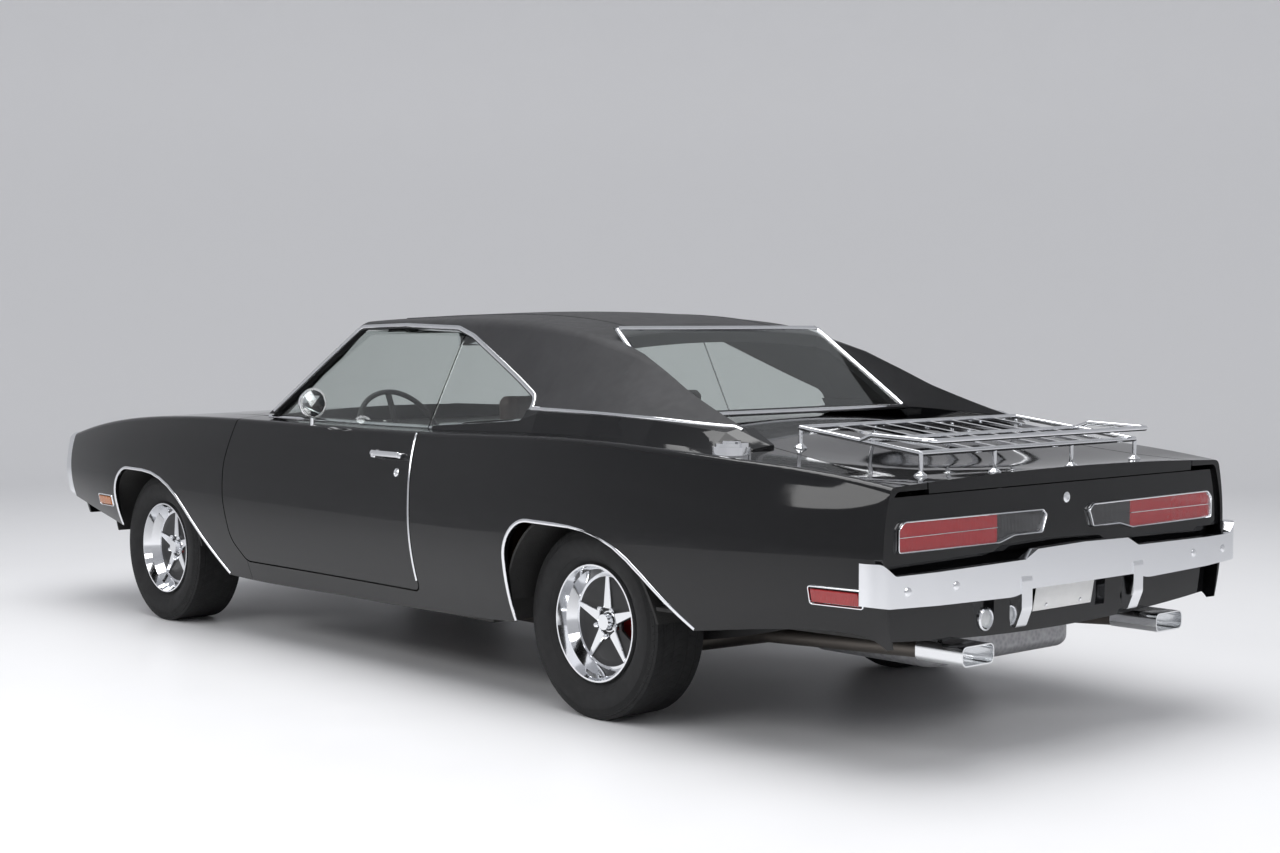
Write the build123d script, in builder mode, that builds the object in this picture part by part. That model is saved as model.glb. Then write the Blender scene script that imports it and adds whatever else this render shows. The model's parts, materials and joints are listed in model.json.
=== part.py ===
from build123d import *
import os

os.makedirs("parts", exist_ok=True)

# Two-door fastback muscle car. X points to the car's left, Y to its tail and Z up from the
# ground; the origin is on the ground, midway along the overall length. Millimetres.

# Overall sizes
LENGTH = 5283.0
HALF_WIDTH = 970.0
WHEELBASE = 2972.0
FRONT_OVERHANG = 935.0
NOSE_INSET = 66.0
TAIL_INSET = 62.0
NOSE_Y = -LENGTH / 2 + NOSE_INSET
TAIL_Y = LENGTH / 2 - TAIL_INSET
FRONT_AXLE_Y = -LENGTH / 2 + FRONT_OVERHANG
REAR_AXLE_Y = FRONT_AXLE_Y + WHEELBASE

# Walls and gaps
SKIN = 20.0
PANEL_GAP = 6.0
SEAM = 0.3
LID_GAP = 5.0
DOOR_THICKNESS = 110.0
DOOR_JAMB_INSET = 26.0
SHOULDER_RADIUS = 26.0
GLASS = 5.0

# Wheels
TYRE_RADIUS = 325.0
TYRE_WIDTH = 240.0
RIM_RADIUS = 190.5
RIM_FLANGE = 203.0
RIM_HALF_WIDTH = 89.0
HUB_RADIUS = 30.0
HUB_CLEARANCE = 0.1
FRONT_TRACK = 1516.0
REAR_TRACK = 1504.0
KINGPIN_X = 655.0

# Lines across the car, front to rear
HOOD_FRONT_Y = NOSE_Y + 16.0
COWL_Y = -1130.0
COWL_REAR_Y = -945.0
FIREWALL_Y = -1085.0
DOOR_HINGE_Y = -1010.0
SILL_SEAM_Y = -905.0
SHELF_FRONT_Y = 960.0
LID_FRONT_Y = 1470.0
LID_REAR_Y = TAIL_Y

# Heights
DOOR_BOTTOM_Z = 345.0
FLOOR_Z = 285.0
TAIL_STRIP_Z = 842.0
TAIL_PANEL_Z = 645.0

# Half widths in plan
HOOD_HALF_FRONT = 700.0
HOOD_HALF_REAR = 742.0
BELT_HALF = 757.0
LID_HALF_FRONT = 595.0
LID_HALF_REAR = 690.0
TUNNEL_HALF_TOP = 525.0
TUNNEL_HALF_LOW = 602.0

# Sections of the lower body: place along the car; inset of the sill from the half width and
# height of the bottom edge; inset and height of the widest line; inset and height of the
# shoulder; height of the crown on the centreline
BODY_STATIONS = [
    (NOSE_Y, 112, 500, 86, 650, 116, 806, 824),
    (FRONT_AXLE_Y - 500, 92, 430, 46, 640, 100, 872, 884),
    (FRONT_AXLE_Y, 84, 330, 24, 625, 90, 917, 928),
    (FRONT_AXLE_Y + 700, 90, 262, 27, 605, 90, 932, 972),
    (FRONT_AXLE_Y + 1350, 98, 262, 35, 600, 100, 929, 985),
    (FRONT_AXLE_Y + 2050, 94, 262, 28, 600, 96, 932, 990),
    (REAR_AXLE_Y - 360, 82, 268, 8, 610, 76, 946, 1000),
    (REAR_AXLE_Y, 76, 285, 0, 620, 66, 948, 1005),
    (REAR_AXLE_Y + 640, 104, 330, 16, 640, 82, 924, 957),
    (TAIL_Y, 132, 398, 88, 660, 120, 868, 888),
]

# Sections of the greenhouse: place along the car; half width at its base; half width and
# height of the waist; half width, height and radius of the roof's edge; height of the crown
BASE_Z = 890.0
GREENHOUSE_STATIONS = [
    (-1150, 820, 792, 950, 606, 1322, 62, 1338),
    (-500, 830, 803, 950, 614, 1338, 62, 1362),
    (100, 836, 808, 955, 618, 1350, 62, 1381),
    (600, 842, 808, 965, 612, 1342, 60, 1370),
    (900, 852, 804, 1020, 594, 1306, 56, 1336),
    (1200, 872, 800, 1026, 590, 1228, 48, 1258),
    (1500, 882, 790, 1018, 604, 1112, 36, 1140),
    (1800, 872, 752, 990, 640, 1012, 18, 1026),
    (1900, 850, 730, 940, 650, 950, 10, 956),
]

SAIL_STATION = 4

# Waist moulding line of the sail panels in side view, and the sill of the quarter window ahead
WAIST_LINE = [(820, 1030), (1200, 1026), (1500, 1018), (1800, 1000), (1900, 950)]
WINDOW_SILL = [(284, 952), (797, 990), (810, 994), (820, 1004)]

# Windshield: an oblique sheet, curved in plan
SHIELD_RADIUS = 1750.0
SHIELD_BASE_Y = -1060.0
SHIELD_BASE_Z = 985.0
SHIELD_LEAN = 1.392
SHIELD_HALF_LOW = 712.0
SHIELD_HALF_TOP = 592.0
SHIELD_TOP_Z = 1336.0
PILLAR = 42.0
HEADER = 30.0

# Rear window plane
BACKLIGHT_TOP = (985.0, 1322.0)
BACKLIGHT_LOW = (1400.0, 1010.0)

# Side opening of a hardtop: the door's glass and the quarter's glass share it
SIDE_OPENING = [(-884, 948), (-455, 1308), (-150, 1316), (219, 1307), (330, 1277),
                (846, 1060), (815, 990), (240, 948)]
SIDE_OPENING_RADII = [8, 40, 300, 90, 160, 34, 30, 200]
DOOR_GLASS_OUTLINE = [(-923, 915), *SIDE_OPENING[1:7], (240, 915)]
GLASS_SPLIT_Y = 240.0

# The windshield pillars' feet stay clear of the doors that swing below them
PILLAR_FOOT_Z = 955.0
PILLAR_FOOT_FRONT_Y = DOOR_HINGE_Y - 10.0
PILLAR_FOOT_REAR_Y = 284.0

# Door outline in side view, with the radius of each corner
DOOR_OUTLINE = [(DOOR_HINGE_Y - 2, 1100), (DOOR_HINGE_Y - 2, 930), (-1046, 740), (-1038, 590),
                (-1000, 430), (-905, DOOR_BOTTOM_Z), (330, DOOR_BOTTOM_Z), (306, 690),
                (272, 960), (272, 1100)]
DOOR_RADII = [0, 120, 300, 300, 120, 70, 26, 700, 200, 0]

# Wheel openings: corners measured from the axle, and the radius of each corner
ARCH_RADII = [0, 140, 560, 0]
FRONT_ARCH = [(-330, 0), (-330, 676), (175, 672), (648, 240)]
REAR_ARCH = [(-360, 0), (-360, 662), (202, 657), (700, 240)]


# Glass seats
LEDGE = 30.0
SHIELD_INSET = 14.0
GLASS_INSET = 18.0
GLASS_GAP = 6.0

# Tail: lens outline, valance, backup lamps, and the rear bumper in plan and in rear view
TAIL_RECESS = 12.0
TAIL_PANEL_DEPTH = 24.0
LAMP_DEPTH = 14.0
LAMP_OUTLINE = [(812, 676), (812, 742), (790, 764), (132, 760), (112, 742), (134, 690),
                (276, 690), (350, 672)]
LAMP_RADII = [8, 14, 30, 18, 10, 10, 50, 50]
VALANCE_HALF = 834.0
BACKUP_X = 375.0
BACKUP_Z = 438.0
REAR_BUMPER_PLAN = [(0, 2610), (0, 2641.5), (700, 2634), (944, 2606), (944, 2540), (916, 2540),
                    (914, 2582), (700, 2604)]
REAR_BUMPER_RADII = [0, 0, 300, 62, 4, 4, 38, 200]
REAR_BUMPER_FACE = [(-40, 530), (-40, 656), (236, 650), (296, 622), (866, 616), (916, 654),
                    (1000, 656), (1000, 540), (890, 524), (350, 512), (262, 530)]
REAR_BUMPER_FACE_RADII = [0, 0, 14, 20, 20, 30, 0, 0, 30, 200, 40]
BUMPER_BRACKET_X = 500.0
GUARD_X = 292.0
GUARD_WIDTH = 52.0
GUARD_PROFILE = [(2596, 440), (2596, 600), (2630, 600), (2641.5, 560), (2641.5, 470), (2618, 412),
                 (2600, 412)]
GUARD_RADII = [0, 0, 10, 30, 30, 12, 4]

# Nose: bumper loop and grille openings in front view
NOSE_OUTLINE = [(-862, 506), (862, 506), (884, 650), (856, 806), (0, 818), (-856, 806),
                (-884, 650)]
NOSE_RADII = [40, 40, 300, 46, 3000, 46, 300]
GRILLE_OUTLINE = [(-806, 580), (806, 580), (822, 660), (800, 762), (0, 772), (-800, 762),
                  (-822, 660)]
GRILLE_RADII = [30, 30, 200, 34, 3000, 34, 200]
GRILLE_BACK = 14.0
GRILLE_LOW_Z = 580.0
GRILLE_TOP_Z = 764.0
GRILLE_SLATS = 9
GRILLE_SLAT_HALF = 795.0
GRILLE_RIBS = 2
GRILLE_RIB_PITCH = 262.0
PLATE_HOLES_X = 177.8
PLATE_HOLES_Z = 543.0
PLATE_HOLE_RADIUS = 3.5

# Floor and wheelhouses
AXLE_Z = TYRE_RADIUS
FLOOR_THICKNESS = 12.0
AXLE_HUMP_Z = 470.0
TRUNK_FLOOR_Z = 430.0
FLOOR_LINE = [(FIREWALL_Y + SKIN, FLOOR_Z), (760, FLOOR_Z), (880, AXLE_HUMP_Z),
              (REAR_AXLE_Y + 275, AXLE_HUMP_Z), (REAR_AXLE_Y + 375, TRUNK_FLOOR_Z),
              (TAIL_Y - 60, TRUNK_FLOOR_Z)]
TRANSMISSION_TUNNEL = 260.0
TUNNEL_REAR_Y = 478.0
REAR_HOUSE_RADIUS = 392.0
REAR_HOUSE_X = 598.0
FRONT_HOUSE_RADIUS = 424.0
FRONT_HOUSE_X = 466.0
LINER = 10.0
LINER_LOW_Z = 372.0

# Road wheels: places, and profiles as distance outboard of the wheel's centre and radius
WHEELS = [
    ("front_left", 1, FRONT_TRACK, FRONT_AXLE_Y),
    ("front_right", -1, FRONT_TRACK, FRONT_AXLE_Y),
    ("rear_left", 1, REAR_TRACK, REAR_AXLE_Y),
    ("rear_right", -1, REAR_TRACK, REAR_AXLE_Y),
]
RIM_LIP = RIM_HALF_WIDTH + 12
RIM_PROFILE = [(-RIM_HALF_WIDTH - 7, RIM_FLANGE), (-RIM_HALF_WIDTH, RIM_FLANGE),
               (-RIM_HALF_WIDTH, RIM_RADIUS), (-56, RIM_RADIUS), (-44, RIM_RADIUS - 14),
               (6, RIM_RADIUS - 14), (18, RIM_RADIUS), (RIM_HALF_WIDTH, RIM_RADIUS),
               (RIM_HALF_WIDTH, RIM_FLANGE), (RIM_LIP, RIM_FLANGE - 3),
               (RIM_LIP, RIM_FLANGE - 9), (70, 182), (36, 163), (22, 163), (16, 170),
               (-44, 170), (-58, 184), (-RIM_HALF_WIDTH - 7, 184)]
DISC_X = 34.0
DISC_PROFILE = [(DISC_X - 12, 0), (DISC_X - 12, 70), (DISC_X - 8, 130), (DISC_X - 10, 167),
                (DISC_X, 167), (DISC_X + 2, 130), (DISC_X, 70), (DISC_X, 0)]
SPOKES = 5
POCKET_INNER = 66.0
POCKET_OUTER = 146.0
SPOKE_RIDGE = 8.0
CAP_RADIUS = 33.0
CAP_HEIGHT = 26.0
TREAD_HALF = 102.0
BEAD_X = 86.0
BEAD_RADIUS = 206.0
BULGE_RADIUS = 262.0
CARCASS_INSIDE = [(-70, RIM_RADIUS), (-76, 214), (-106, 256), (-92, 308), (92, 308), (106, 256),
                  (76, 214), (70, RIM_RADIUS)]

# Chassis
KINGPIN_RADIUS = 12.0
KINGPIN_LENGTH = 60.0
KNUCKLE_RADIUS = 26.0
KNUCKLE_HEIGHT = 180.0
DRUM_RADIUS = 136.0
DRUM_WIDTH = 46.0
ARM_TOP_Z = 236.0
ARM_THICKNESS = 26.0
RAIL_X = 400.0
RAIL_WIDTH = 74.0
RAIL_Z = 350.0
RAIL_HEIGHT = 96.0
RAIL_FRONT_Y = -2500.0
ENGINE_FRONT_Y = -1960.0
ENGINE_LENGTH = 740.0
ENGINE_LOW_Z = 300.0
ENGINE_MOUNT_X = 140.0
GEARBOX_LENGTH = 130.0
SPRING_X = 540.0
SPRING_WIDTH = 62.0
SPRING_THICKNESS = 26.0
SPRING_LOW_Z = 240.0
SPRING_FRONT = (690.0, 240.0)
SPRING_REAR = (2020.0, 388.0)
EXHAUST_RADIUS = 29.0
EXHAUST_X = 250.0
EXHAUST_Z = 205.0
EXHAUST_ROUTE = [(EXHAUST_X, -1180, EXHAUST_Z), (EXHAUST_X, 860, EXHAUST_Z),
                 (330, 1240, 200), (455, 1700, 300), (500, 2540, 350)]
MUFFLER_FRONT_Y = 60.0
MUFFLER_LENGTH = 520.0
TIP_X = 500.0
TIP_Z = 350.0
TIP_WIDTH = 150.0
TIP_HEIGHT = 62.0
TIP_FRONT_Y = 2440.0
TIP_REAR_Y = 2622.0

# Cabin
DASH_HALF = 700.0
DASH_BACK_Y = FIREWALL_Y + SKIN
STEER_CENTRE = (370.0, -560.0, 868.0)
STEER_AXIS = (0.0, 0.9, 0.436)
STEER_RADIUS = 196.0
STEER_RIM = 11.0
STEER_COLUMN_LENGTH = 278.0
STEER_HUB_LENGTH = 56.0
STEER_GAP = 5.0
STEER_SHAFT = 9.0
STEER_SHAFT_LENGTH = 110.0
SEAT_X = 388.0
SEAT_WIDTH = 500.0
REAR_SEAT_HALF = 560.0

# Luggage rack on the trunk lid: cross rails as place and height, posts as x, y, low, high
RACK_HALF = 555.0
RACK_TUBE = 9.0
RACK_CROSS = [(1940, 1004), (2200, 974), (2440, 946)]
RACK_SLATS = 8
RACK_SLAT_HALF = 400.0
RACK_SLAT_WIDTH = 18.0
RACK_HOOP_FRONT_Y = 2200.0
RACK_HOOP_REAR_Y = 2490.0
RACK_HOOP_Z = 985.0
RACK_POSTS = [(x, y, low, high)
              for x in (-555.0, -200.0, 200.0, 555.0)
              for y, low, high in ((1940.0, 925.0, 1004.0), (2440.0, 870.0, 946.0))]

# Fuel cap: radius, underside and top of each step
FUEL_CAP_PLACE = (806.0, 1880.0)
CAP_STEPS = [(62.0, 905.0, 952.0), (52.0, 952.0, 962.0), (30.0, 962.0, 970.0)]

# Door mirror
MIRROR_X = 896.0
MIRROR_Y = -420.0
MIRROR_Z = 1018.0
MIRROR_RADIUS = 60.0

# The lower body's outer form, or the same form drawn in by a wall and dropped at its foot
def body_form(inset, drop, overrun):
    last = len(BODY_STATIONS) - 1
    with BuildPart() as form:
        for row, station in enumerate(BODY_STATIONS):
            y, sill, bottom_z, wide, wide_z, shoulder, shoulder_z, crown_z = station
            if row == 0:
                y -= overrun
            if row == last:
                y += overrun
            x_sill = HALF_WIDTH - sill - inset
            x_wide = HALF_WIDTH - wide - inset
            x_top = HALF_WIDTH - shoulder - inset
            z_low = bottom_z - drop
            z_top = shoulder_z - inset
            with BuildSketch(Plane.XZ.offset(-y)) as section:
                with BuildLine():
                    Line((-x_sill, z_low), (x_sill, z_low))
                    TangentArc((x_wide, wide_z), (x_sill, z_low), tangent=(0, -1))
                    TangentArc((x_wide, wide_z), (x_top, z_top), tangent=(0, 1))
                    ThreePointArc((x_top, z_top), (0, crown_z - inset), (-x_top, z_top))
                    TangentArc((-x_wide, wide_z), (-x_top, z_top), tangent=(0, 1))
                    TangentArc((-x_wide, wide_z), (-x_sill, z_low), tangent=(0, -1))
                make_face()
                shoulders = section.vertices().filter_by(lambda v: abs(v.Y - z_top) < 1.0)
                fillet(shoulders, SHOULDER_RADIUS)
        loft()
    return form.part


# A stretch of the greenhouse's outer form, or the same form drawn in by a wall
def greenhouse_form(inset, stations, straight):
    with BuildPart() as form:
        for y, base, waist, waist_z, edge, edge_z, edge_radius, crown_z in stations:
            low = base - inset
            mid = waist - inset
            top = edge - inset
            top_z = edge_z - inset
            with BuildSketch(Plane.XZ.offset(-y)) as section:
                with BuildLine():
                    Polyline((-top, top_z), (-mid, waist_z), (-low, BASE_Z))
                    Line((-low, BASE_Z), (low, BASE_Z))
                    Polyline((low, BASE_Z), (mid, waist_z), (top, top_z))
                    ThreePointArc((top, top_z), (0, crown_z - inset), (-top, top_z))
                make_face()
                edges = section.vertices().filter_by(lambda v: abs(v.Y - top_z) < 1.0)
                fillet(edges, edge_radius)
        loft(ruled=straight)
    return form.part


# A prism across the car, from an outline in side view
def side_prism(outline, radii, x_from, x_to, grow=0.0):
    with BuildPart() as prism:
        with BuildSketch(Plane.YZ.offset(x_from)):
            with BuildLine():
                FilletPolyline(*outline, radius=radii, close=True)
            make_face()
            if grow:
                offset(amount=grow)
        extrude(amount=x_to - x_from)
    return prism.part


# An upright prism, from an outline in plan
def plan_prism(outline, z_from, z_to, grow=0.0):
    with BuildPart() as prism:
        with BuildSketch(Plane.XY.offset(z_from)):
            with BuildLine():
                Polyline(*outline, close=True)
            make_face()
            if grow:
                offset(amount=grow, kind=Kind.INTERSECTION)
        extrude(amount=z_to - z_from)
    return prism.part


def trapezoid(half_front, y_front, half_rear, y_rear):
    return [(-half_front, y_front), (half_front, y_front), (half_rear, y_rear), (-half_rear, y_rear)]


# The space ahead of the windshield sheet moved back by a distance along the car
def ahead_of_shield(shift):
    base_y = SHIELD_BASE_Y + (800.0 - SHIELD_BASE_Z) * SHIELD_LEAN + shift
    reach = 1100.0
    side_y = base_y + SHIELD_RADIUS - (SHIELD_RADIUS ** 2 - reach ** 2) ** 0.5
    with BuildPart() as space:
        with BuildSketch(Plane.XY.offset(800.0)):
            with BuildLine():
                ThreePointArc((-reach, side_y), (0, base_y), (reach, side_y))
                Polyline((reach, side_y), (reach, -2600), (-reach, -2600), (-reach, side_y))
            make_face()
        extrude(amount=700.0 * (1 + SHIELD_LEAN ** 2) ** 0.5, dir=(0, SHIELD_LEAN, 1))
    return space.part


# The tunnel between the sail panels, down to the rear window's plane moved by a distance
def tunnel_space(drop, half_top, half_low):
    top_y, top_z = BACKLIGHT_TOP
    low_y, low_z = BACKLIGHT_LOW
    slope = (top_z - low_z) / (low_y - top_y)
    lead = 130.0
    rear_y = 1990.0
    spread = (half_low - half_top) / (low_y - top_y)
    with BuildPart() as space:
        with BuildSketch(Plane.YZ.offset(-900)):
            with BuildLine():
                Polyline((top_y - lead, top_z + slope * lead - drop), (low_y, low_z - drop),
                         (low_y, BASE_Z - 20), (rear_y, BASE_Z - 20), (rear_y, 1600),
                         (top_y - lead, 1600), close=True)
            make_face()
        extrude(amount=1800)
        add(plan_prism(trapezoid(half_top - spread * lead, top_y - lead,
                                 half_low + spread * (rear_y - low_y), rear_y), 850, 1650),
            mode=Mode.INTERSECT)
    return space.part


outer_body = body_form(0, 0, 0)
inner_body = body_form(SKIN, 70, 40)
joint_body = body_form(SKIN / 2, 35, -20)
fitted_body = body_form(SKIN + SEAM, 70, 40)
with BuildPart() as body_shell:
    add(outer_body)
    add(inner_body, mode=Mode.SUBTRACT)

hood_plan = trapezoid(HOOD_HALF_FRONT, HOOD_FRONT_Y, HOOD_HALF_REAR, COWL_Y)
cowl_plan = trapezoid(HOOD_HALF_FRONT, HOOD_FRONT_Y, HOOD_HALF_REAR + 6, COWL_REAR_Y)
deck_plan = trapezoid(LID_HALF_FRONT + 4, SHELF_FRONT_Y, LID_HALF_FRONT + 4, LID_FRONT_Y - LID_GAP)
lid_plan = trapezoid(LID_HALF_FRONT, LID_FRONT_Y, LID_HALF_REAR, LID_REAR_Y + 60)
door_hole = side_prism(DOOR_OUTLINE, DOOR_RADII, 0, 1100, PANEL_GAP)
door_block = side_prism(DOOR_OUTLINE, DOOR_RADII, 0, 1100)
front_arch = side_prism([(y + FRONT_AXLE_Y, z) for y, z in FRONT_ARCH], ARCH_RADII, 0, 1100)
rear_arch = side_prism([(y + REAR_AXLE_Y, z) for y, z in REAR_ARCH], ARCH_RADII, 0, 1100)

# Greenhouse volumes: its outer form, the cabin inside it and the tunnel between the sails
top_form = greenhouse_form(0, GREENHOUSE_STATIONS[:SAIL_STATION + 1], False)
sail_form = greenhouse_form(0, GREENHOUSE_STATIONS[SAIL_STATION:], True)
with BuildPart() as cabin:
    add(greenhouse_form(PILLAR, GREENHOUSE_STATIONS[:SAIL_STATION + 1], False))
    add(ahead_of_shield(PILLAR), mode=Mode.SUBTRACT)
    add(greenhouse_form(PILLAR, GREENHOUSE_STATIONS[SAIL_STATION:SAIL_STATION + 3], True))
    add(tunnel_space(HEADER, 1000, 1000), mode=Mode.SUBTRACT)
tunnel = tunnel_space(0, TUNNEL_HALF_TOP, TUNNEL_HALF_LOW)

# Hood: the crowned panel between the fenders, hinged at the cowl
with BuildPart() as hood:
    add(body_shell.part)
    add(plan_prism(hood_plan, 700, 1100), mode=Mode.INTERSECT)
hood.part.label = "hood"
export_step(hood.part, "parts/hood.step")

# Cowl: the panel between hood and windshield, with the firewall below it
with BuildPart() as cowl_strip:
    add(body_shell.part)
    add(plan_prism(trapezoid(HOOD_HALF_REAR, COWL_Y + LID_GAP, HOOD_HALF_REAR + 6, COWL_REAR_Y),
                   800, 1100), mode=Mode.INTERSECT)
with BuildPart() as firewall:
    with BuildSketch(Plane.XZ.offset(-FIREWALL_Y)):
        with Locations((0, 700)):
            Rectangle(2 * HALF_WIDTH, 2 * (700 - FLOOR_Z))
    extrude(amount=-SKIN)
    add(fitted_body, mode=Mode.INTERSECT)
with BuildPart() as cowl:
    with BuildSketch(Plane.XZ.offset(-FIREWALL_Y)):
        with Locations((0, 800)):
            Rectangle(2 * HOOD_HALF_FRONT, 400)
    extrude(amount=-SKIN)
    add(joint_body, mode=Mode.INTERSECT)
    add(firewall.part)
    add(cowl_strip.part)
cowl.part.label = "cowl"
export_step(cowl.part, "parts/cowl.step")

# Front fenders: side wall and top edge from nose to door, open at the wheel
with BuildPart() as fender_left:
    add(body_shell.part)
    with BuildSketch(Plane.YZ):
        with BuildLine():
            Polyline((NOSE_Y - 60, 100), (SILL_SEAM_Y - 2, 100), (SILL_SEAM_Y - 2, 1100),
                     (NOSE_Y - 60, 1100), close=True)
        make_face()
    extrude(amount=1100, mode=Mode.INTERSECT)
    add(plan_prism(cowl_plan, 600, 1100, LID_GAP), mode=Mode.SUBTRACT)
    add(door_hole, mode=Mode.SUBTRACT)
    add(front_arch, mode=Mode.SUBTRACT)
fender_left.part.label = "fender_left"
export_step(fender_left.part, "parts/fender_left.step")
with BuildPart() as fender_right:
    add(mirror(fender_left.part, about=Plane.YZ, mode=Mode.PRIVATE))
fender_right.part.label = "fender_right"
export_step(fender_right.part, "parts/fender_right.step")

# Doors: an outer skin to the full outline, and the door box set in from it at the jambs
with BuildPart() as door_box:
    add(outer_body)
    add(body_form(DOOR_THICKNESS, 0, 40), mode=Mode.SUBTRACT)
    add(side_prism(DOOR_OUTLINE, DOOR_RADII, 0, 1100, -DOOR_JAMB_INSET), mode=Mode.INTERSECT)
    add(plan_prism(trapezoid(BELT_HALF, -1200, BELT_HALF, 600), 100, 1200), mode=Mode.SUBTRACT)
with BuildPart() as door_skin:
    add(body_shell.part)
    add(door_block, mode=Mode.INTERSECT)
    add(plan_prism(trapezoid(BELT_HALF, -1200, BELT_HALF, 600), 100, 1200), mode=Mode.SUBTRACT)
with BuildPart() as door_left:
    add(door_box.part)
    add(door_skin.part)
door_left.part.label = "door_left"
export_step(door_left.part, "parts/door_left.step")
with BuildPart() as door_right:
    add(mirror(door_left.part, about=Plane.YZ, mode=Mode.PRIVATE))
door_right.part.label = "door_right"
export_step(door_right.part, "parts/door_right.step")

# Waist cut: what lies below the quarter window and the moulding line of the sail panels
with BuildPart() as below_waist:
    with BuildSketch(Plane.YZ.offset(-1000)):
        with BuildLine():
            Polyline((WINDOW_SILL[0][0], 700), *WINDOW_SILL, *WAIST_LINE,
                     (WAIST_LINE[-1][0] + 60, 700), close=True)
        make_face()
    extrude(amount=2000)

# Quarter panels: rocker, rear side wall, top shelf and the hip up to the sail's moulding
with BuildPart() as hip:
    add(top_form)
    add(sail_form)
    add(below_waist.part, mode=Mode.INTERSECT)
    add(cabin.part, mode=Mode.SUBTRACT)
    add(plan_prism(deck_plan, 700, 1300), mode=Mode.SUBTRACT)
    add(plan_prism(lid_plan, 700, 1300, LID_GAP), mode=Mode.SUBTRACT)
    add(joint_body, mode=Mode.SUBTRACT)
    split(bisect_by=Plane.YZ, keep=Keep.TOP)
with BuildPart() as quarter_left:
    add(body_shell.part)
    with BuildSketch(Plane.YZ):
        with BuildLine():
            Polyline((SILL_SEAM_Y, 100), (TAIL_Y + 60, 100), (TAIL_Y + 60, 1300),
                     (SILL_SEAM_Y, 1300), close=True)
        make_face()
    extrude(amount=1100, mode=Mode.INTERSECT)
    add(plan_prism(trapezoid(BELT_HALF, -1100, BELT_HALF, SHELF_FRONT_Y), 800, 1200),
        mode=Mode.SUBTRACT)
    add(plan_prism(deck_plan, 800, 1200), mode=Mode.SUBTRACT)
    add(plan_prism(lid_plan, 700, 1200, LID_GAP), mode=Mode.SUBTRACT)
    add(door_hole, mode=Mode.SUBTRACT)
    add(rear_arch, mode=Mode.SUBTRACT)
    add(hip.part)
quarter_left.part.label = "quarter_left"
export_step(quarter_left.part, "parts/quarter_left.step")
with BuildPart() as quarter_right:
    add(mirror(quarter_left.part, about=Plane.YZ, mode=Mode.PRIVATE))
quarter_right.part.label = "quarter_right"
export_step(quarter_right.part, "parts/quarter_right.step")

# Rear deck: the panel under the rear window, from the back seat to the trunk lid
with BuildPart() as rear_deck:
    add(body_shell.part)
    add(plan_prism(deck_plan, 800, 1200), mode=Mode.INTERSECT)
rear_deck.part.label = "rear_deck"
export_step(rear_deck.part, "parts/rear_deck.step")

# Roof: skin, windshield pillars, header rails and the two sail panels
left_opening = side_prism(SIDE_OPENING, SIDE_OPENING_RADII, 500, 1000)
over_door = plan_prism([(BELT_HALF - PANEL_GAP, PILLAR_FOOT_FRONT_Y),
                        (HALF_WIDTH, PILLAR_FOOT_FRONT_Y), (HALF_WIDTH, PILLAR_FOOT_REAR_Y),
                        (BELT_HALF - PANEL_GAP, PILLAR_FOOT_REAR_Y)], 850, PILLAR_FOOT_Z)
with BuildPart() as sails:
    add(sail_form)
    add(tunnel, mode=Mode.SUBTRACT)
    add(cabin.part, mode=Mode.SUBTRACT)
    add(plan_prism(trapezoid(TUNNEL_HALF_TOP - LEDGE, BACKLIGHT_TOP[0] + LEDGE,
                             TUNNEL_HALF_LOW - LEDGE, BACKLIGHT_LOW[0] - LEDGE), 850, 1500),
        mode=Mode.SUBTRACT)
    add(below_waist.part, mode=Mode.SUBTRACT)
    add(outer_body, mode=Mode.SUBTRACT)
with BuildPart() as roof:
    add(top_form)
    add(ahead_of_shield(0), mode=Mode.SUBTRACT)
    add(cabin.part, mode=Mode.SUBTRACT)
    with BuildSketch(Plane.XZ.offset(1250)):
        with BuildLine():
            FilletPolyline((-SHIELD_HALF_LOW, 850), (SHIELD_HALF_LOW, 850),
                           (SHIELD_HALF_TOP, SHIELD_TOP_Z), (-SHIELD_HALF_TOP, SHIELD_TOP_Z),
                           radius=(0, 0, 40, 40), close=True)
        make_face()
    extrude(amount=-800, mode=Mode.SUBTRACT)
    add(left_opening, mode=Mode.SUBTRACT)
    add(mirror(left_opening, about=Plane.YZ, mode=Mode.PRIVATE), mode=Mode.SUBTRACT)
    add(over_door, mode=Mode.SUBTRACT)
    add(mirror(over_door, about=Plane.YZ, mode=Mode.PRIVATE), mode=Mode.SUBTRACT)
    add(outer_body, mode=Mode.SUBTRACT)
    add(below_waist.part, mode=Mode.SUBTRACT)
    add(sails.part)
roof.part.label = "roof"
export_step(roof.part, "parts/roof.step")

# Windshield: the curved sheet between the pillars
with BuildPart() as windshield:
    add(ahead_of_shield(SHIELD_INSET + GLASS))
    add(ahead_of_shield(SHIELD_INSET), mode=Mode.SUBTRACT)
    with BuildSketch(Plane.XZ.offset(1250)):
        with BuildLine():
            FilletPolyline((-SHIELD_HALF_LOW, 850), (SHIELD_HALF_LOW, 850),
                           (SHIELD_HALF_TOP, SHIELD_TOP_Z), (-SHIELD_HALF_TOP, SHIELD_TOP_Z),
                           radius=(0, 0, 40, 40), close=True)
        make_face()
    extrude(amount=-1000, mode=Mode.INTERSECT)
    add(outer_body, mode=Mode.SUBTRACT)
windshield.part.label = "windshield"
export_step(windshield.part, "parts/windshield.step")

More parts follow.
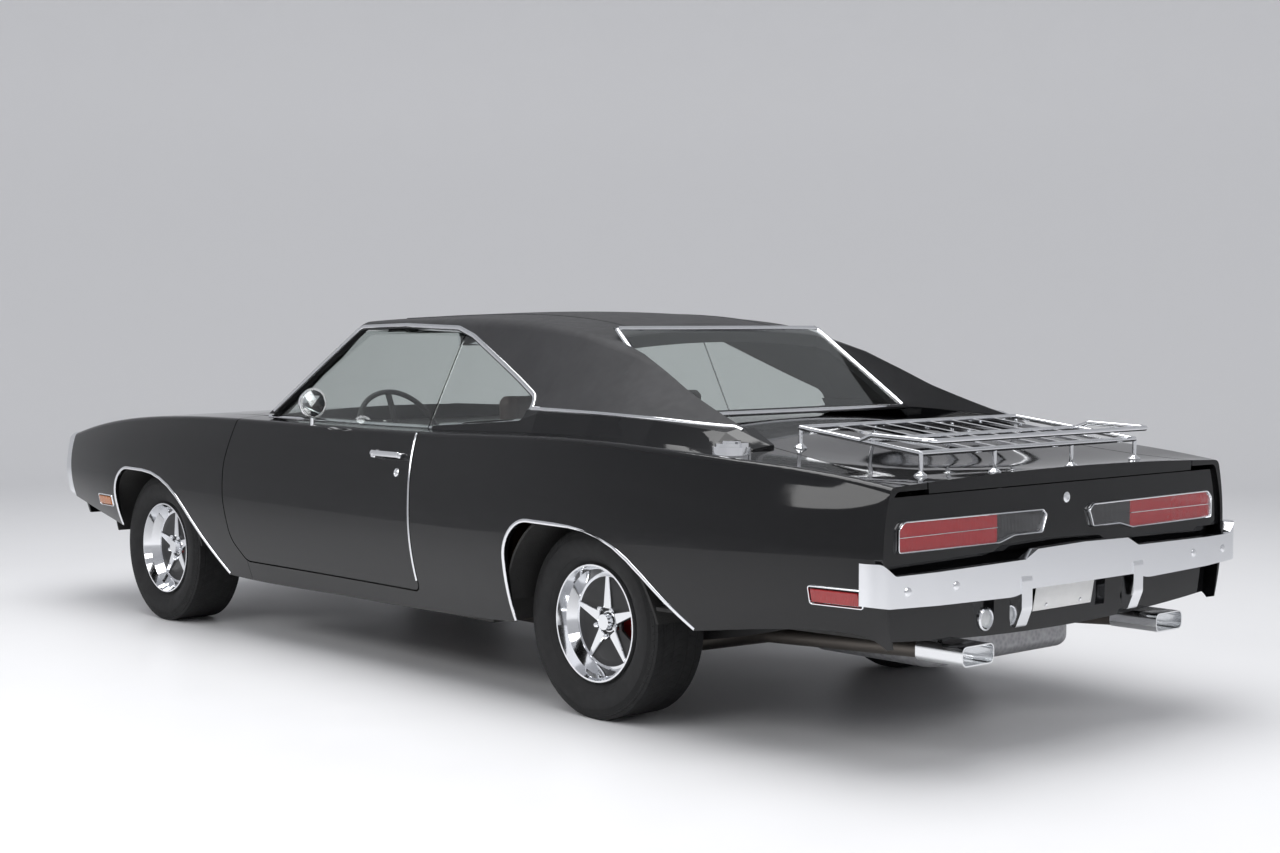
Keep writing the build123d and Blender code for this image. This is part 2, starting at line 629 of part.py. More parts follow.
# Rear window: a flat sheet resting on the ledge at the foot of the tunnel
with BuildPart() as rear_window:
    with BuildSketch(Plane.YZ.offset(-800)):
        with BuildLine():
            Polyline(BACKLIGHT_TOP, BACKLIGHT_LOW, (BACKLIGHT_LOW[0], BACKLIGHT_LOW[1] + GLASS),
                     (BACKLIGHT_TOP[0], BACKLIGHT_TOP[1] + GLASS), close=True)
        make_face()
    extrude(amount=1600)
    add(plan_prism(trapezoid(TUNNEL_HALF_TOP - 2, BACKLIGHT_TOP[0] + 2, LID_HALF_FRONT + 2,
                             BACKLIGHT_LOW[0] - 2), 850, 1500), mode=Mode.INTERSECT)
rear_window.part.label = "rear_window"
export_step(rear_window.part, "parts/rear_window.step")

# Side glass: one thin sheet that follows the greenhouse, split at the door's rear edge
with BuildPart() as side_sheet:
    add(greenhouse_form(GLASS_INSET, GREENHOUSE_STATIONS[:SAIL_STATION + 1], False))
    add(greenhouse_form(GLASS_INSET + GLASS, GREENHOUSE_STATIONS[:SAIL_STATION + 1], False),
        mode=Mode.SUBTRACT)
    split(bisect_by=Plane.YZ.offset(500), keep=Keep.TOP)
with BuildPart() as door_glass_left:
    add(side_sheet.part)
    add(side_prism(DOOR_GLASS_OUTLINE, SIDE_OPENING_RADII, 500, 1000, -GLASS_GAP),
        mode=Mode.INTERSECT)
    split(bisect_by=Plane.XZ.offset(-(GLASS_SPLIT_Y - GLASS_GAP)), keep=Keep.TOP)
    add(outer_body, mode=Mode.SUBTRACT)
door_glass_left.part.label = "door_glass_left"
export_step(door_glass_left.part, "parts/door_glass_left.step")
with BuildPart() as door_glass_right:
    add(mirror(door_glass_left.part, about=Plane.YZ, mode=Mode.PRIVATE))
door_glass_right.part.label = "door_glass_right"
export_step(door_glass_right.part, "parts/door_glass_right.step")
with BuildPart() as quarter_glass:
    add(side_sheet.part)
    add(side_prism(SIDE_OPENING, SIDE_OPENING_RADII, 500, 1000, -0.5), mode=Mode.INTERSECT)
    split(bisect_by=Plane.XZ.offset(-GLASS_SPLIT_Y), keep=Keep.BOTTOM)
    add(outer_body, mode=Mode.SUBTRACT)
    add(below_waist.part, mode=Mode.SUBTRACT)
    mirror(about=Plane.YZ)
quarter_glass.part.label = "quarter_glass"
export_step(quarter_glass.part, "parts/quarter_glass.step")

# Trunk lid: the crowned panel behind the rear window, with a drop strip over the tail
with BuildPart() as lid_strip:
    add(outer_body)
    with BuildSketch(Plane.XY.offset(TAIL_STRIP_Z)):
        with Locations((0, TAIL_Y - 10)):
            Rectangle(2 * (LID_HALF_REAR - 8), 20)
    extrude(amount=300, mode=Mode.INTERSECT)
with BuildPart() as trunk_lid:
    add(body_shell.part)
    add(plan_prism(lid_plan, 700, 1200), mode=Mode.INTERSECT)
    add(lid_strip.part)
trunk_lid.part.label = "trunk_lid"
export_step(trunk_lid.part, "parts/trunk_lid.step")

# Tail lamps: two long lenses whose lower edge steps up towards the middle
with BuildPart() as lamp_left:
    with BuildSketch(Plane.XZ.offset(-(TAIL_Y - TAIL_RECESS))):
        with BuildLine():
            FilletPolyline(*LAMP_OUTLINE, radius=LAMP_RADII, close=True)
        make_face()
    extrude(amount=LAMP_DEPTH)
with BuildPart() as tail_lamps:
    add(lamp_left.part)
    mirror(about=Plane.YZ)
tail_lamps.part.label = "tail_lamps"
export_step(tail_lamps.part, "parts/tail_lamps.step")

# Tail panel: the upright panel between the quarters, with pockets for the lamps
with BuildPart() as tail_panel:
    add(fitted_body)
    with BuildSketch(Plane.XY.offset(TAIL_PANEL_Z)):
        with Locations((0, TAIL_Y - TAIL_RECESS - TAIL_PANEL_DEPTH / 2)):
            Rectangle(2000, TAIL_PANEL_DEPTH)
    extrude(amount=TAIL_STRIP_Z - LID_GAP - TAIL_PANEL_Z, mode=Mode.INTERSECT)
    with BuildSketch(Plane.XZ.offset(-(TAIL_Y - TAIL_RECESS))):
        with BuildLine():
            FilletPolyline(*LAMP_OUTLINE, radius=LAMP_RADII, close=True)
        make_face()
        mirror(about=Plane.YZ)
    extrude(amount=LAMP_DEPTH, mode=Mode.SUBTRACT)
tail_panel.part.label = "tail_panel"
export_step(tail_panel.part, "parts/tail_panel.step")

# Rear valance: the painted apron below the bumper
with BuildPart() as rear_valance:
    with BuildSketch(Plane.XZ.offset(-(TAIL_Y - 34))):
        with BuildLine():
            Polyline((-VALANCE_HALF, TAIL_PANEL_Z), (VALANCE_HALF, TAIL_PANEL_Z),
                     (VALANCE_HALF - 15, 414))
            ThreePointArc((VALANCE_HALF - 15, 414), (0, 378), (-VALANCE_HALF + 15, 414))
            Line((-VALANCE_HALF + 15, 414), (-VALANCE_HALF, TAIL_PANEL_Z))
        make_face()
    extrude(amount=22)
    with BuildSketch(Plane.XZ.offset(-(TAIL_Y - 34))):
        with Locations((BACKUP_X, BACKUP_Z), (-BACKUP_X, BACKUP_Z)):
            Circle(32)
    extrude(amount=10, mode=Mode.SUBTRACT)
rear_valance.part.label = "rear_valance"
export_step(rear_valance.part, "parts/rear_valance.step")

# Rear bumper: a wrapped bar raised over the plate, with two upright guards
with BuildPart() as rear_bumper:
    with BuildSketch(Plane.XY.offset(380)):
        with BuildLine():
            FilletPolyline(*REAR_BUMPER_PLAN, radius=REAR_BUMPER_RADII, close=True)
        make_face()
    extrude(amount=320)
    with BuildSketch(Plane.XZ.offset(-LENGTH / 2 - 20)):
        with BuildLine():
            FilletPolyline(*REAR_BUMPER_FACE, radius=REAR_BUMPER_FACE_RADII, close=True)
        make_face()
    extrude(amount=200, mode=Mode.INTERSECT)
    mirror(about=Plane.YZ)
    with BuildSketch(Plane.YZ.offset(GUARD_X - GUARD_WIDTH / 2)):
        with BuildLine():
            FilletPolyline(*GUARD_PROFILE, radius=GUARD_RADII, close=True)
        make_face()
    guard = extrude(amount=GUARD_WIDTH)
    mirror(guard, about=Plane.YZ)
    with BuildSketch(Plane.XZ.offset(-TAIL_Y + 34)):
        with Locations((BUMPER_BRACKET_X, 580), (-BUMPER_BRACKET_X, 580)):
            Rectangle(60, 40)
    extrude(amount=-(REAR_BUMPER_PLAN[0][1] + 4 - TAIL_Y + 34))
rear_bumper.part.label = "rear_bumper"
export_step(rear_bumper.part, "parts/rear_bumper.step")

# Front bumper: a chromed loop that frames the grille
with BuildPart() as front_bumper:
    with BuildSketch(Plane.XZ.offset(-NOSE_Y)):
        with BuildLine():
            FilletPolyline(*NOSE_OUTLINE, radius=NOSE_RADII, close=True)
        make_face()
        with BuildLine():
            FilletPolyline(*GRILLE_OUTLINE, radius=GRILLE_RADII, close=True)
        make_face(mode=Mode.SUBTRACT)
    extrude(amount=NOSE_INSET)
    fillet(front_bumper.faces().sort_by(Axis.Y)[0].edges(), 14)
    with BuildSketch(Plane.XZ.offset(LENGTH / 2 - 60)):
        with Locations((-PLATE_HOLES_X / 2, PLATE_HOLES_Z), (PLATE_HOLES_X / 2, PLATE_HOLES_Z)):
            Circle(PLATE_HOLE_RADIUS)
    extrude(amount=120, mode=Mode.SUBTRACT)
front_bumper.part.label = "front_bumper"
export_step(front_bumper.part, "parts/front_bumper.step")

# Grille: a dark back plate with full-width slats and upright ribs, lamp doors shut flush
with BuildPart() as grille:
    with BuildSketch(Plane.XZ.offset(-NOSE_Y)):
        with BuildLine():
            FilletPolyline(*GRILLE_OUTLINE, radius=GRILLE_RADII, close=True)
        make_face()
        offset(amount=10)
    extrude(amount=-GRILLE_BACK)
    for row in range(GRILLE_SLATS):
        slat_z = GRILLE_LOW_Z + (row + 1) * (GRILLE_TOP_Z - GRILLE_LOW_Z) / (GRILLE_SLATS + 1)
        with BuildSketch(Plane.XZ.offset(-NOSE_Y)):
            with Locations((0, slat_z)):
                Rectangle(2 * GRILLE_SLAT_HALF, 6)
        extrude(amount=24)
    for column in range(-GRILLE_RIBS, GRILLE_RIBS + 1):
        with BuildSketch(Plane.XZ.offset(-NOSE_Y)):
            with Locations((column * GRILLE_RIB_PITCH, (GRILLE_LOW_Z + GRILLE_TOP_Z) / 2)):
                Rectangle(8, GRILLE_TOP_Z - GRILLE_LOW_Z - 4)
        extrude(amount=16)
grille.part.label = "grille"
export_step(grille.part, "parts/grille.step")

# Front valance: the painted apron below the bumper loop
with BuildPart() as front_valance:
    with BuildSketch(Plane.XZ.offset(-NOSE_Y - 14)):
        with BuildLine():
            Polyline((-826, 530), (826, 530), (790, 418), (-790, 418), close=True)
        make_face()
    extrude(amount=14)
    with BuildSketch(Plane.XZ.offset(-NOSE_Y + 20)):
        with Locations((-400, 458), (0, 458), (400, 458)):
            SlotOverall(300, 26)
    extrude(amount=-80, mode=Mode.SUBTRACT)
front_valance.part.label = "front_valance"
export_step(front_valance.part, "parts/front_valance.step")

# Floor pan: cabin floor, heel board and trunk floor in one bent sheet, cut for the wheels
with BuildPart() as floor_pan:
    with BuildSketch(Plane.YZ.offset(-HALF_WIDTH)):
        with BuildLine():
            Polyline(*FLOOR_LINE, *[(y - 3, z - FLOOR_THICKNESS) for y, z in reversed(FLOOR_LINE)],
                     close=True)
        make_face()
    extrude(amount=2 * HALF_WIDTH)
    add(fitted_body, mode=Mode.INTERSECT)
    with BuildSketch(Plane.XY.offset(200)):
        with Locations((HALF_WIDTH, REAR_AXLE_Y), (-HALF_WIDTH, REAR_AXLE_Y)):
            Rectangle(2 * (HALF_WIDTH - REAR_HOUSE_X), 2 * REAR_HOUSE_RADIUS)
    extrude(amount=400, mode=Mode.SUBTRACT)
    with BuildSketch(Plane.XY.offset(SPRING_FRONT[1] + SPRING_THICKNESS)):
        with Locations((SPRING_X, SPRING_FRONT[0] + 20), (-SPRING_X, SPRING_FRONT[0] + 20)):
            Rectangle(SPRING_WIDTH, 36)
    extrude(amount=FLOOR_Z - 4 - SPRING_FRONT[1] - SPRING_THICKNESS)
    with BuildSketch(Plane.XY.offset(SPRING_REAR[1] + SPRING_THICKNESS)):
        with Locations((SPRING_X, SPRING_REAR[0] - 20), (-SPRING_X, SPRING_REAR[0] - 20)):
            Rectangle(SPRING_WIDTH, 36)
    extrude(amount=TRUNK_FLOOR_Z - 4 - SPRING_REAR[1] - SPRING_THICKNESS)
    with BuildSketch(Plane.XZ.offset(-FIREWALL_Y - SKIN)):
        with Locations((0, FLOOR_Z - FLOOR_THICKNESS)):
            Rectangle(TRANSMISSION_TUNNEL, TRANSMISSION_TUNNEL)
    extrude(amount=-(TUNNEL_REAR_Y - FIREWALL_Y - SKIN))
    with BuildSketch(Plane.XZ.offset(-FIREWALL_Y - SKIN)):
        with Locations((0, FLOOR_Z - FLOOR_THICKNESS - 80)):
            Rectangle(TRANSMISSION_TUNNEL - 24, TRANSMISSION_TUNNEL - 24 + 160)
    extrude(amount=-(TUNNEL_REAR_Y - FIREWALL_Y - SKIN), mode=Mode.SUBTRACT)
floor_pan.part.label = "floor_pan"
export_step(floor_pan.part, "parts/floor_pan.step")

# Wheelhouses: arched liners over the four wheels, closed at their inner side
WHEELHOUSES = [
    (FRONT_AXLE_Y, FRONT_HOUSE_X, FRONT_HOUSE_RADIUS),
    (REAR_AXLE_Y, REAR_HOUSE_X, REAR_HOUSE_RADIUS),
]
with BuildPart() as wheelhouses:
    for house_y, house_x, house_radius in WHEELHOUSES:
        with BuildSketch(Plane.YZ.offset(house_x)):
            with Locations((house_y, AXLE_Z)):
                Circle(house_radius)
                Circle(house_radius - LINER, mode=Mode.SUBTRACT)
        extrude(amount=HALF_WIDTH - house_x)
        with BuildSketch(Plane.YZ.offset(house_x)):
            with Locations((house_y, AXLE_Z)):
                Circle(house_radius)
        extrude(amount=LINER)
    with BuildSketch(Plane.XY):
        Rectangle(4 * HALF_WIDTH, LENGTH)
    extrude(amount=LINER_LOW_Z, mode=Mode.SUBTRACT)
    add(fitted_body, mode=Mode.INTERSECT)
    mirror(about=Plane.YZ)
wheelhouses.part.label = "wheelhouses"
export_step(wheelhouses.part, "parts/wheelhouses.step")

# Road wheel: a rolled rim with a deep bright ring, and five ridged spokes round a domed hub
with BuildPart() as road_wheel:
    with BuildSketch(Plane.XZ):
        with BuildLine():
            Polyline(*RIM_PROFILE, close=True)
        make_face()
    revolve(axis=Axis.X)
    with BuildSketch(Plane.XZ):
        with BuildLine():
            Polyline(*DISC_PROFILE, close=True)
        make_face()
    revolve(axis=Axis.X)
    with BuildSketch(Plane.YZ.offset(DISC_X - 40)):
        with PolarLocations(0, SPOKES, start_angle=90 + 180 / SPOKES):
            with BuildLine():
                FilletPolyline((POCKET_INNER, -24), (POCKET_OUTER, -72), (POCKET_OUTER, 72),
                               (POCKET_INNER, 24), radius=(10, 12, 12, 10), close=True)
            make_face()
    extrude(amount=90, mode=Mode.SUBTRACT)
    for spoke in range(SPOKES):
        with BuildSketch(Plane.YZ.offset(DISC_X).rotated((360 * spoke / SPOKES, 0, 0))):
            with Locations((0, (HUB_RADIUS + POCKET_OUTER) / 2 + 12)):
                Trapezoid(44, POCKET_OUTER - HUB_RADIUS, 84)
        extrude(amount=SPOKE_RIDGE, taper=28)
    with BuildSketch(Plane.YZ.offset(DISC_X)):
        Circle(CAP_RADIUS)
    extrude(amount=CAP_HEIGHT, taper=14)
    with BuildSketch(Plane.YZ.offset(-RIM_HALF_WIDTH)):
        Circle(HUB_RADIUS + HUB_CLEARANCE)
    extrude(amount=RIM_HALF_WIDTH + DISC_X - 4, mode=Mode.SUBTRACT)

# Tyre: a hollow carcass with flat tread and bulged walls, seated on the rim
with BuildPart() as road_tyre:
    with BuildSketch(Plane.XZ):
        with BuildLine():
            Line((-BEAD_X, RIM_RADIUS), (-BEAD_X, BEAD_RADIUS))
            ThreePointArc((-BEAD_X, BEAD_RADIUS), (-TYRE_WIDTH / 2, BULGE_RADIUS),
                          (-TREAD_HALF, TYRE_RADIUS))
            Line((-TREAD_HALF, TYRE_RADIUS), (TREAD_HALF, TYRE_RADIUS))
            ThreePointArc((TREAD_HALF, TYRE_RADIUS), (TYRE_WIDTH / 2, BULGE_RADIUS),
                          (BEAD_X, BEAD_RADIUS))
            Line((BEAD_X, BEAD_RADIUS), (BEAD_X, RIM_RADIUS))
            Polyline((-BEAD_X, RIM_RADIUS), *CARCASS_INSIDE, (BEAD_X, RIM_RADIUS))
        make_face()
    revolve(axis=Axis.X)

for name, side, track, axle_y in WHEELS:
    with BuildPart() as wheel:
        with Locations((side * track / 2, axle_y, AXLE_Z)):
            if side > 0:
                add(road_wheel.part)
            else:
                add(mirror(road_wheel.part, about=Plane.YZ, mode=Mode.PRIVATE))
    wheel.part.label = "wheel_" + name
    export_step(wheel.part, "parts/wheel_" + name + ".step")
    with BuildPart() as tyre:
        with Locations((side * track / 2, axle_y, AXLE_Z)):
            add(road_tyre.part)
    tyre.part.label = "tyre_" + name
    export_step(tyre.part, "parts/tyre_" + name + ".step")

# Front knuckles: upright on the kingpin, spindle for the wheel, and brake drum
with BuildPart() as knuckle_left:
    with BuildSketch(Plane.XY.offset(ARM_TOP_Z + 1)):
        with Locations((KINGPIN_X, FRONT_AXLE_Y)):
            Circle(KNUCKLE_RADIUS)
    extrude(amount=KNUCKLE_HEIGHT)
    with BuildSketch(Plane.YZ.offset(KINGPIN_X)):
        with Locations((FRONT_AXLE_Y, AXLE_Z)):
            Circle(HUB_RADIUS)
    extrude(amount=FRONT_TRACK / 2 + DISC_X - 10 - KINGPIN_X)
    with BuildSketch(Plane.YZ.offset(KINGPIN_X + KNUCKLE_RADIUS + 8)):
        with Locations((FRONT_AXLE_Y, AXLE_Z)):
            Circle(DRUM_RADIUS)
    extrude(amount=DRUM_WIDTH)
    with BuildSketch(Plane.XY.offset(ARM_TOP_Z + 6)):
        with Locations((KINGPIN_X - 40, FRONT_AXLE_Y + 70)):
            Rectangle(30, 130, rotation=30)
    extrude(amount=18)
    with BuildSketch(Plane.XY.offset(ARM_TOP_Z)):
        with Locations((KINGPIN_X, FRONT_AXLE_Y)):
            Circle(KINGPIN_RADIUS + HUB_CLEARANCE)
    extrude(amount=KINGPIN_LENGTH + 2, mode=Mode.SUBTRACT)
knuckle_left.part.label = "knuckle_left"
export_step(knuckle_left.part, "parts/knuckle_left.step")
with BuildPart() as knuckle_right:
    add(mirror(knuckle_left.part, about=Plane.YZ, mode=Mode.PRIVATE))
knuckle_right.part.label = "knuckle_right"
export_step(knuckle_right.part, "parts/knuckle_right.step")

# Front frame: two rails, the crossmember under the engine and the arms to the knuckles
with BuildPart() as front_frame:
    with BuildSketch(Plane.XY.offset(RAIL_Z)):
        with Locations((RAIL_X, (RAIL_FRONT_Y + FIREWALL_Y) / 2)):
            Rectangle(RAIL_WIDTH, FIREWALL_Y - RAIL_FRONT_Y)
    extrude(amount=RAIL_HEIGHT)
    with BuildSketch(Plane.XY.offset(ARM_TOP_Z - ARM_THICKNESS)):
        with BuildLine():
            Polyline((0, FRONT_AXLE_Y - 70), (RAIL_X, FRONT_AXLE_Y - 70),
                     (KINGPIN_X, FRONT_AXLE_Y - 24), (KINGPIN_X, FRONT_AXLE_Y + 24),
                     (RAIL_X, FRONT_AXLE_Y + 70), (0, FRONT_AXLE_Y + 70), close=True)
        make_face()
        with Locations((KINGPIN_X, FRONT_AXLE_Y)):
            Circle(30)
    extrude(amount=ARM_THICKNESS)
    with BuildSketch(Plane.XY.offset(ARM_TOP_Z)):
        with Locations((RAIL_X, FRONT_AXLE_Y)):
            Rectangle(RAIL_WIDTH, 120)
    extrude(amount=RAIL_Z - ARM_TOP_Z)
    with BuildSketch(Plane.XY.offset(ARM_TOP_Z)):
        with Locations((ENGINE_MOUNT_X, FRONT_AXLE_Y)):
            Rectangle(50, 80)
    extrude(amount=ENGINE_LOW_Z - ARM_TOP_Z)
    with BuildSketch(Plane.XY.offset(ARM_TOP_Z)):
        with Locations((KINGPIN_X, FRONT_AXLE_Y)):
            Circle(KINGPIN_RADIUS)
    extrude(amount=KINGPIN_LENGTH)
    with BuildSketch(Plane.XY.offset(RAIL_Z)):
        with Locations((0, RAIL_FRONT_Y + 40)):
            Rectangle(2 * RAIL_X, 60)
    extrude(amount=60)
    mirror(about=Plane.YZ)
front_frame.part.label = "front_frame"
export_step(front_frame.part, "parts/front_frame.step")

# Engine: the heavy mass between the rails, as one block with its gearbox
with BuildPart() as engine:
    with BuildSketch(Plane.XZ.offset(-ENGINE_FRONT_Y)):
        with BuildLine():
            Polyline((-170, ENGINE_LOW_Z), (170, ENGINE_LOW_Z), (180, 480), (300, 640), (240, 760),
                     (120, 820), (-120, 820), (-240, 760), (-300, 640), (-180, 480), close=True)
        make_face()
    extrude(amount=-ENGINE_LENGTH)
    with BuildSketch(Plane.XZ.offset(-ENGINE_FRONT_Y - ENGINE_LENGTH)):
        with Locations((0, 330)):
            RectangleRounded(210, 190, 60)
    extrude(amount=-GEARBOX_LENGTH)
engine.part.label = "engine"
export_step(engine.part, "parts/engine.step")

# Rear axle: tubes, differential, brake drums and leaf springs up to the trunk floor
with BuildPart() as rear_axle:
    with BuildSketch(Plane.YZ):
        with Locations((REAR_AXLE_Y, AXLE_Z)):
            Circle(38)
    extrude(amount=REAR_TRACK / 2 - 40)
    with BuildSketch(Plane.YZ):
        with Locations((REAR_AXLE_Y, AXLE_Z)):
            Circle(HUB_RADIUS)
    extrude(amount=REAR_TRACK / 2 + DISC_X - 10)
    with BuildSketch(Plane.YZ.offset(REAR_TRACK / 2 - 40 - DRUM_WIDTH / 2)):
        with Locations((REAR_AXLE_Y, AXLE_Z)):
            Circle(DRUM_RADIUS)
    extrude(amount=DRUM_WIDTH)
    with BuildSketch(Plane.YZ):
        with Locations((REAR_AXLE_Y, AXLE_Z)):
            Circle(114)
    extrude(amount=90, taper=20)
    with BuildSketch(Plane.YZ.offset(SPRING_X - SPRING_WIDTH / 2)):
        with BuildLine():
            ThreePointArc(SPRING_FRONT, (REAR_AXLE_Y, SPRING_LOW_Z), SPRING_REAR)
            Line(SPRING_REAR, (SPRING_REAR[0], SPRING_REAR[1] + SPRING_THICKNESS))
            ThreePointArc((SPRING_REAR[0], SPRING_REAR[1] + SPRING_THICKNESS),
                          (REAR_AXLE_Y, SPRING_LOW_Z + SPRING_THICKNESS),
                          (SPRING_FRONT[0], SPRING_FRONT[1] + SPRING_THICKNESS))
            Line((SPRING_FRONT[0], SPRING_FRONT[1] + SPRING_THICKNESS), SPRING_FRONT)
        make_face()
    extrude(amount=SPRING_WIDTH)
    with BuildSketch(Plane.XY.offset(SPRING_LOW_Z + 4)):
        with Locations((SPRING_X, REAR_AXLE_Y)):
            Rectangle(SPRING_WIDTH, 110)
    extrude(amount=AXLE_Z - SPRING_LOW_Z - 20)
    mirror(about=Plane.YZ)
rear_axle.part.label = "rear_axle"
export_step(rear_axle.part, "parts/rear_axle.step")

# Exhaust: two pipes with mufflers and flat chromed tips below the valance
with BuildPart() as exhaust:
    with BuildLine() as pipe_run:
        FilletPolyline(*EXHAUST_ROUTE, radius=90)
    with BuildSketch(Plane(origin=pipe_run.line @ 0, z_dir=pipe_run.line % 0)):
        Circle(EXHAUST_RADIUS)
    sweep()
    with BuildSketch(Plane.XZ.offset(-MUFFLER_FRONT_Y)):
        with Locations((EXHAUST_X, EXHAUST_Z)):
            Ellipse(120, 58)
    extrude(amount=-MUFFLER_LENGTH)
    with BuildSketch(Plane.XZ.offset(-TIP_FRONT_Y)):
        with Locations((TIP_X, TIP_Z)):
            RectangleRounded(TIP_WIDTH, TIP_HEIGHT, 20)
    extrude(amount=-(TIP_REAR_Y - TIP_FRONT_Y))
    with BuildSketch(Plane.XZ.offset(-TIP_REAR_Y)):
        with Locations((TIP_X, TIP_Z)):
            RectangleRounded(TIP_WIDTH - 8, TIP_HEIGHT - 8, 16)
    extrude(amount=60, mode=Mode.SUBTRACT)
    with BuildSketch(Plane.XY.offset(TIP_Z + TIP_HEIGHT / 2 - 2)):
        with Locations((TIP_X, TIP_FRONT_Y + 30)):
            Rectangle(24, 8)
    extrude(until=Until.NEXT, target=floor_pan.part)
    with BuildSketch(Plane.XY.offset(EXHAUST_Z + 50)):
        with Locations((EXHAUST_X, MUFFLER_FRONT_Y + MUFFLER_LENGTH / 2)):
            Rectangle(30, 8)
    extrude(until=Until.NEXT, target=floor_pan.part)
    mirror(about=Plane.YZ)
exhaust.part.label = "exhaust"
export_step(exhaust.part, "parts/exhaust.step")

# Fuel tank: a shallow rounded box under the trunk floor
with BuildPart() as fuel_tank:
    with BuildSketch(Plane.XY.offset(250)):
        with Locations((0, 2060)):
            RectangleRounded(740, 560, 70)
    extrude(amount=TRUNK_FLOOR_Z - FLOOR_THICKNESS - 250)
    fillet(fuel_tank.faces().sort_by(Axis.Z)[0].edges(), 40)
fuel_tank.part.label = "fuel_tank"
export_step(fuel_tank.part, "parts/fuel_tank.step")

# Dashboard: padded top, sloped face and knee panel across the cabin
with BuildPart() as dashboard:
    with BuildSketch(Plane.YZ.offset(-DASH_HALF)):
        with BuildLine():
            FilletPolyline((DASH_BACK_Y, 690), (DASH_BACK_Y, 905), (-900, 905), (-790, 896), (-778, 860),
                           (-840, 760), (-850, 690), radius=(0, 0, 30, 26, 12, 30, 10), close=True)
        make_face()
    extrude(amount=2 * DASH_HALF)
dashboard.part.label = "dashboard"
export_step(dashboard.part, "parts/dashboard.step")

# Steering wheel: thin rim, two spokes, hub and the column from the dashboard
steering_plane = Plane(origin=STEER_CENTRE, x_dir=(1, 0, 0), z_dir=STEER_AXIS)
with BuildPart() as steering_wheel:
    with BuildSketch(Plane(origin=STEER_CENTRE, x_dir=(1, 0, 0),
                           z_dir=(0, STEER_AXIS[2], -STEER_AXIS[1]))):
        with Locations((STEER_RADIUS, 0)):
            RegularPolygon(STEER_RIM, 10)
    revolve(axis=Axis(STEER_CENTRE, STEER_AXIS))
    with BuildSketch(steering_plane.offset(8 - STEER_HUB_LENGTH)):
        Circle(34)
    extrude(amount=STEER_HUB_LENGTH)
    with BuildSketch(steering_plane.offset(-STEER_SHAFT_LENGTH)):
        Circle(STEER_SHAFT)
    extrude(amount=STEER_SHAFT_LENGTH)
    with BuildSketch(steering_plane.offset(-6)):
        Rectangle(2 * STEER_RADIUS, 26)
        with Locations((0, -STEER_RADIUS / 2)):
            Rectangle(26, STEER_RADIUS)
    extrude(amount=8)
steering_wheel.part.label = "steering_wheel"
export_step(steering_wheel.part, "parts/steering_wheel.step")
with BuildPart() as steering_column:
    with BuildSketch(steering_plane.offset(8 - STEER_HUB_LENGTH - STEER_GAP)):
        Circle(24)
    extrude(amount=-STEER_COLUMN_LENGTH)
    with BuildSketch(steering_plane.offset(-STEER_SHAFT_LENGTH - STEER_GAP)):
        Circle(STEER_SHAFT + HUB_CLEARANCE)
    extrude(amount=STEER_SHAFT_LENGTH, mode=Mode.SUBTRACT)
    add(dashboard.part, mode=Mode.SUBTRACT)
steering_column.part.label = "steering_column"
export_step(steering_column.part, "parts/steering_column.step")

# Front seats: bucket cushions and backs with head restraints
with BuildPart() as front_seats:
    with BuildSketch(Plane.YZ.offset(SEAT_X - SEAT_WIDTH / 2)):
        with BuildLine():
            FilletPolyline((-420, 330), (-420, 440), (60, 400), (250, 930), (340, 930), (180, 330),
                           radius=(20, 50, 40, 40, 40, 30), close=True)
        make_face()
    extrude(amount=SEAT_WIDTH)
    with BuildSketch(Plane.YZ.offset(SEAT_X - 130)):
        with BuildLine():
            FilletPolyline((262, 900), (300, 1080), (370, 1080), (336, 900), radius=24, close=True)
        make_face()
    extrude(amount=260)
    with BuildSketch(Plane.XY.offset(FLOOR_Z)):
        with Locations((SEAT_X, -120)):
            Rectangle(SEAT_WIDTH - 100, 460)
    extrude(amount=60)
    mirror(about=Plane.YZ)
front_seats.part.label = "front_seats"
export_step(front_seats.part, "parts/front_seats.step")

# Rear seat: one bench cushion and its back up to the rear deck
with BuildPart() as rear_seat:
    with BuildSketch(Plane.YZ.offset(-REAR_SEAT_HALF)):
        with BuildLine():
            FilletPolyline((480, FLOOR_Z), (480, 470), (800, 440), (880, 930), (950, 930),
                           (950, 560), (755, 440), (740, FLOOR_Z),
                           radius=(0, 50, 50, 40, 20, 20, 0, 0), close=True)
        make_face()
    extrude(amount=2 * REAR_SEAT_HALF)
rear_seat.part.label = "rear_seat"
export_step(rear_seat.part, "parts/rear_seat.step")

